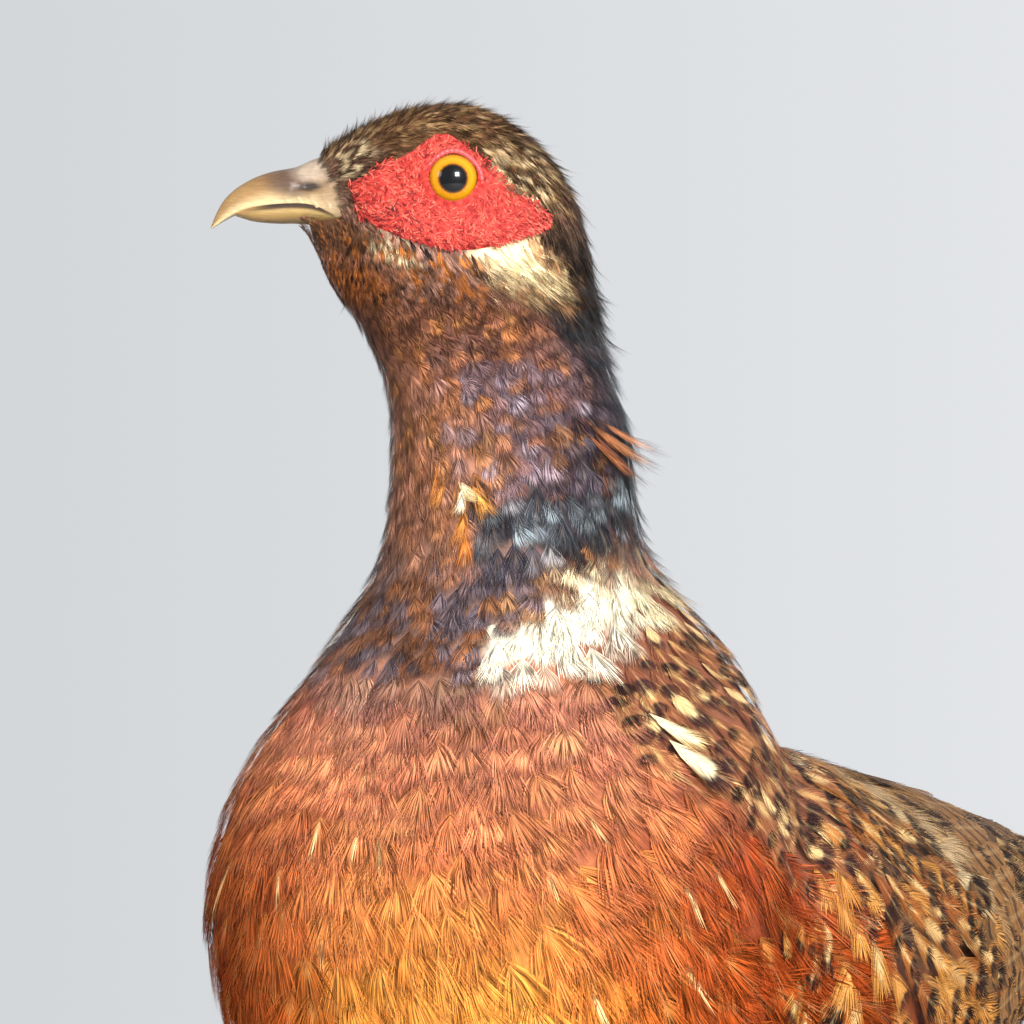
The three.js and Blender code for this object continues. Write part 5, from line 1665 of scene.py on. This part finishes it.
plates = []
for side in SIDES.values():
    shank_spans = limb_spans(SHANK)
    plates += limb_plates(shank_spans, (0.5, 5.4), 3.3, (-1.95, -1.15), side, 0.72, 0.95)
    plates += limb_plates(shank_spans, (0.5, 5.4), 4.2, (1.2, 2.0), side, 0.62, 0.9)
    for toe in TOES:
        plates += limb_plates(limb_spans(toe_points(toe)), (0.08, 1.97), 2.9, (UNDERSIDE,), side, 0.92, 0.95)
path = mesh_of("leg_plates", [row[0] for row in plates], [])
for key, column in (("facing", 1), ("along", 2), ("breadth", 3)):
    note(path, key, np.array([row[column] for row in plates]))
leg_plates = piece_of("leg_plates", path)
tree = plate_tree(scale_horn)
modifier = leg_plates.modifiers.new("plates", "NODES")
modifier.node_group = tree
for socket in tree.interface.items_tree:
    if socket.name in ("Plate", "Size"):
        modifier[socket.identifier] = plate_object if socket.name == "Plate" else MM
leg_plates = baked(leg_plates, [])
leg_plates.data.polygons.foreach_set("use_smooth", [True] * len(leg_plates.data.polygons))
bpy.data.objects.remove(plate_object)
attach(leg_plates, "root")

# Claws and spurs: dark, hard, smooth horn, a little lighter along its fibres.
claw_horn = mottled_material("claw_horn", "#2A221C", "#5E4C3A", 700.0, 3.0,
                             Roughness=0.32, Specular_IOR_Level=0.5)


def horn_piece(name, points, side, node):
    made = piece_of(name, closed_rings(name, limb_rings(points, 24, 18, 0.0, side)), claw_horn)
    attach(made, "root")
    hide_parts(node)


SPUR = ((32.4, 6, 48, 3, 3), (31, 14.1, 48.6, 2, 2), (30, 20.6, 51.4, 0.45, 0.45))
for side_name, side in SIDES.items():
    for toe, (length, turn, claw) in TOES.items():
        base = 3 if toe == "hind" else 2.4
        run = ((length - 1.5, base - 0.2, 2.1), (length + 0.55 * claw, base + 0.6, 1.35),
               (length + claw, 0.5, 0.35))
        points = [(*toe_place(turn, reach, height), radius, radius) for reach, height, radius in run]
        horn_piece(f"claw_{toe}_{side_name}_horn", points, side, f"claw_{toe}_{side_name}")
    horn_piece("spur_horn_" + side_name, SPUR, side, "spur_" + side_name)


# ---- Plinth ---------------------------------------------------------------------------
# A moulded block of stained hardwood with rounded corners, French polished.
low, high = (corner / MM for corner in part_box("stand_plinth"))
MOULDING = (
    (0.0, 1.5), (1.5, 0.0), (11.0, 0.0), (12.2, 0.6), (12.9, 1.8), (13.3, 3.2), (15.2, 3.5), (17.0, 4.2),
    (18.6, 5.4), (20.0, 7.0), (20.9, 8.4), (21.6, 9.6), (22.0, 11.0),
)
CORNER = 16.0
rings = []
for height, inset in MOULDING:
    ring = []
    for quarter in range(4):
        centre_x = (high.x - CORNER) * (1 if quarter in (0, 3) else -1)
        centre_y = (high.y - CORNER) * (1 if quarter < 2 else -1)
        for step in range(13):
            turn = (quarter + step / 12) * math.pi / 2
            ring.append((centre_x + (CORNER - inset) * math.cos(turn),
                         centre_y + (CORNER - inset) * math.sin(turn), height))
    rings.append(ring)
wood, nodes, shader = new_material(
    "stained_hardwood", Roughness=0.42, Specular_IOR_Level=0.5, Coat_Weight=0.6, Coat_Roughness=0.12)
where = add_node(nodes, "ShaderNodeTexCoord")
laid = add_node(nodes, "ShaderNodeMapping", {
    "Vector": where.outputs["Object"], "Scale": (60.0, 4.0, 60.0)})
figure = add_node(nodes, "ShaderNodeTexNoise", {
    "Vector": laid.outputs["Vector"], "Scale": 1.0, "Detail": 4.0, "Distortion": 0.6})
fine = add_node(nodes, "ShaderNodeMapping", {
    "Vector": where.outputs["Object"], "Scale": (900.0, 22.0, 900.0)})
pores = add_node(nodes, "ShaderNodeTexNoise", {
    "Vector": fine.outputs["Vector"], "Scale": 1.0, "Detail": 2.0})
stain = add_node(nodes, "ShaderNodeMix", {
    "Factor": figure.outputs["Fac"], 6: rgba("#2E160C"), 7: rgba("#6E3C20")}, data_type="RGBA")
dark = add_node(nodes, "ShaderNodeMapRange", {
    "Value": pores.outputs["Fac"], "From Min": 0.35, "From Max": 0.55, "To Min": 0.55, "To Max": 1.0})
tint = add_node(nodes, "ShaderNodeVectorMath", {0: stain.outputs[2], "Scale": dark.outputs["Result"]},
                operation="SCALE")
dress(nodes, shader, tint.outputs["Vector"], pores.outputs["Fac"], 0.15, 0.0003)
plinth_mesh = closed_rings("stand_plinth_wood", np.array(rings))
plinth = piece_of("stand_plinth_wood", plinth_mesh, wood)
sharp = plinth.modifiers.new("edges", "EDGE_SPLIT")
sharp.split_angle = math.radians(40)
plinth = baked(plinth, [])
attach(plinth, "root")
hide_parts("stand_plinth")


# ---- Floor and lights -----------------------------------------------------------------
# A plain pale floor under the plinth and three wide soft lamps: a strong one on the right,
# weak ones on the left and behind. The surround lights the bird evenly and weakly, and is
# paler where the camera or a shiny surface sees it.
FLOOR_RADIUS, FLOOR_CORNERS = 1500, 96
floor_mesh = mesh_of("floor", [(FLOOR_RADIUS * math.cos(turn), FLOOR_RADIUS * math.sin(turn), 0.0)
                               for turn in even_turns(FLOOR_CORNERS)], [tuple(range(FLOOR_CORNERS))])
floor_material, nodes, shader = new_material("matt_paper", Base_Color=rgba("#DDDFE1"), Roughness=0.9)
floor = piece_of("floor", floor_mesh, floor_material)

world = bpy.data.worlds.new("surround")
bpy.context.scene.world = world
world.use_nodes = True
nodes = world.node_tree
background = nodes.nodes["Background"]
background.inputs["Color"].default_value = rgba("#E4E6EA")
background.inputs["Strength"].default_value = 0.2
shown = add_node(nodes, "ShaderNodeBackground", {"Strength": 1.0})
way = add_node(nodes, "ShaderNodeTexCoord")
slope = add_node(nodes, "ShaderNodeVectorMath", {0: way.outputs["Generated"], 1: (0.866, 0.5, 0.0)},
                 operation="DOT_PRODUCT")
blend = add_node(nodes, "ShaderNodeMapRange", {
    "Value": slope.outputs["Value"], "From Min": -0.1, "From Max": 0.1})
tone = add_node(nodes, "ShaderNodeMix", {
    "Factor": blend.outputs["Result"], 6: rgba("#D3D6D9"), 7: rgba("#E3E5E8")}, data_type="RGBA")
nodes.links.new(tone.outputs[2], shown.inputs["Color"])
rays = add_node(nodes, "ShaderNodeLightPath")
seen = rays.outputs["Is Camera Ray"]
for kind in ("Is Glossy Ray", "Is Transmission Ray"):
    seen = add_node(nodes, "ShaderNodeMath", {0: seen, 1: rays.outputs[kind]},
                    operation="MAXIMUM").outputs[0]
surround = add_node(nodes, "ShaderNodeMixShader", {0: seen, 1: background.outputs[0], 2: shown.outputs[0]})
nodes.links.new(surround.outputs[0], nodes.nodes["World Output"].inputs["Surface"])

LAMPS = {
    "lamp_left": ((-0.7, -1.5, 0.9), 0.5, 5.0),
    "lamp_right": ((1.05, -1.12, 0.9), 0.4, 54.0),
    "lamp_back": ((0.3, 1.5, 1.3), 0.9, 7.0),
}
for lamp_name, (spot_at, lamp_size, watts) in LAMPS.items():
    lamp = bpy.data.lights.new(lamp_name, "AREA")
    lamp.shape = "SQUARE"
    lamp.size = lamp_size
    lamp.energy = watts
    lamp_object = bpy.data.objects.new(lamp_name, lamp)
    lamp_object.location = spot_at
    lamp_object.rotation_euler = (Vector(spot_at) - CAMERA_AIM).to_track_quat("Z", "Y").to_euler()
    bpy.context.scene.collection.objects.link(lamp_object)

bpy.context.scene.view_settings.view_transform = "Standard"
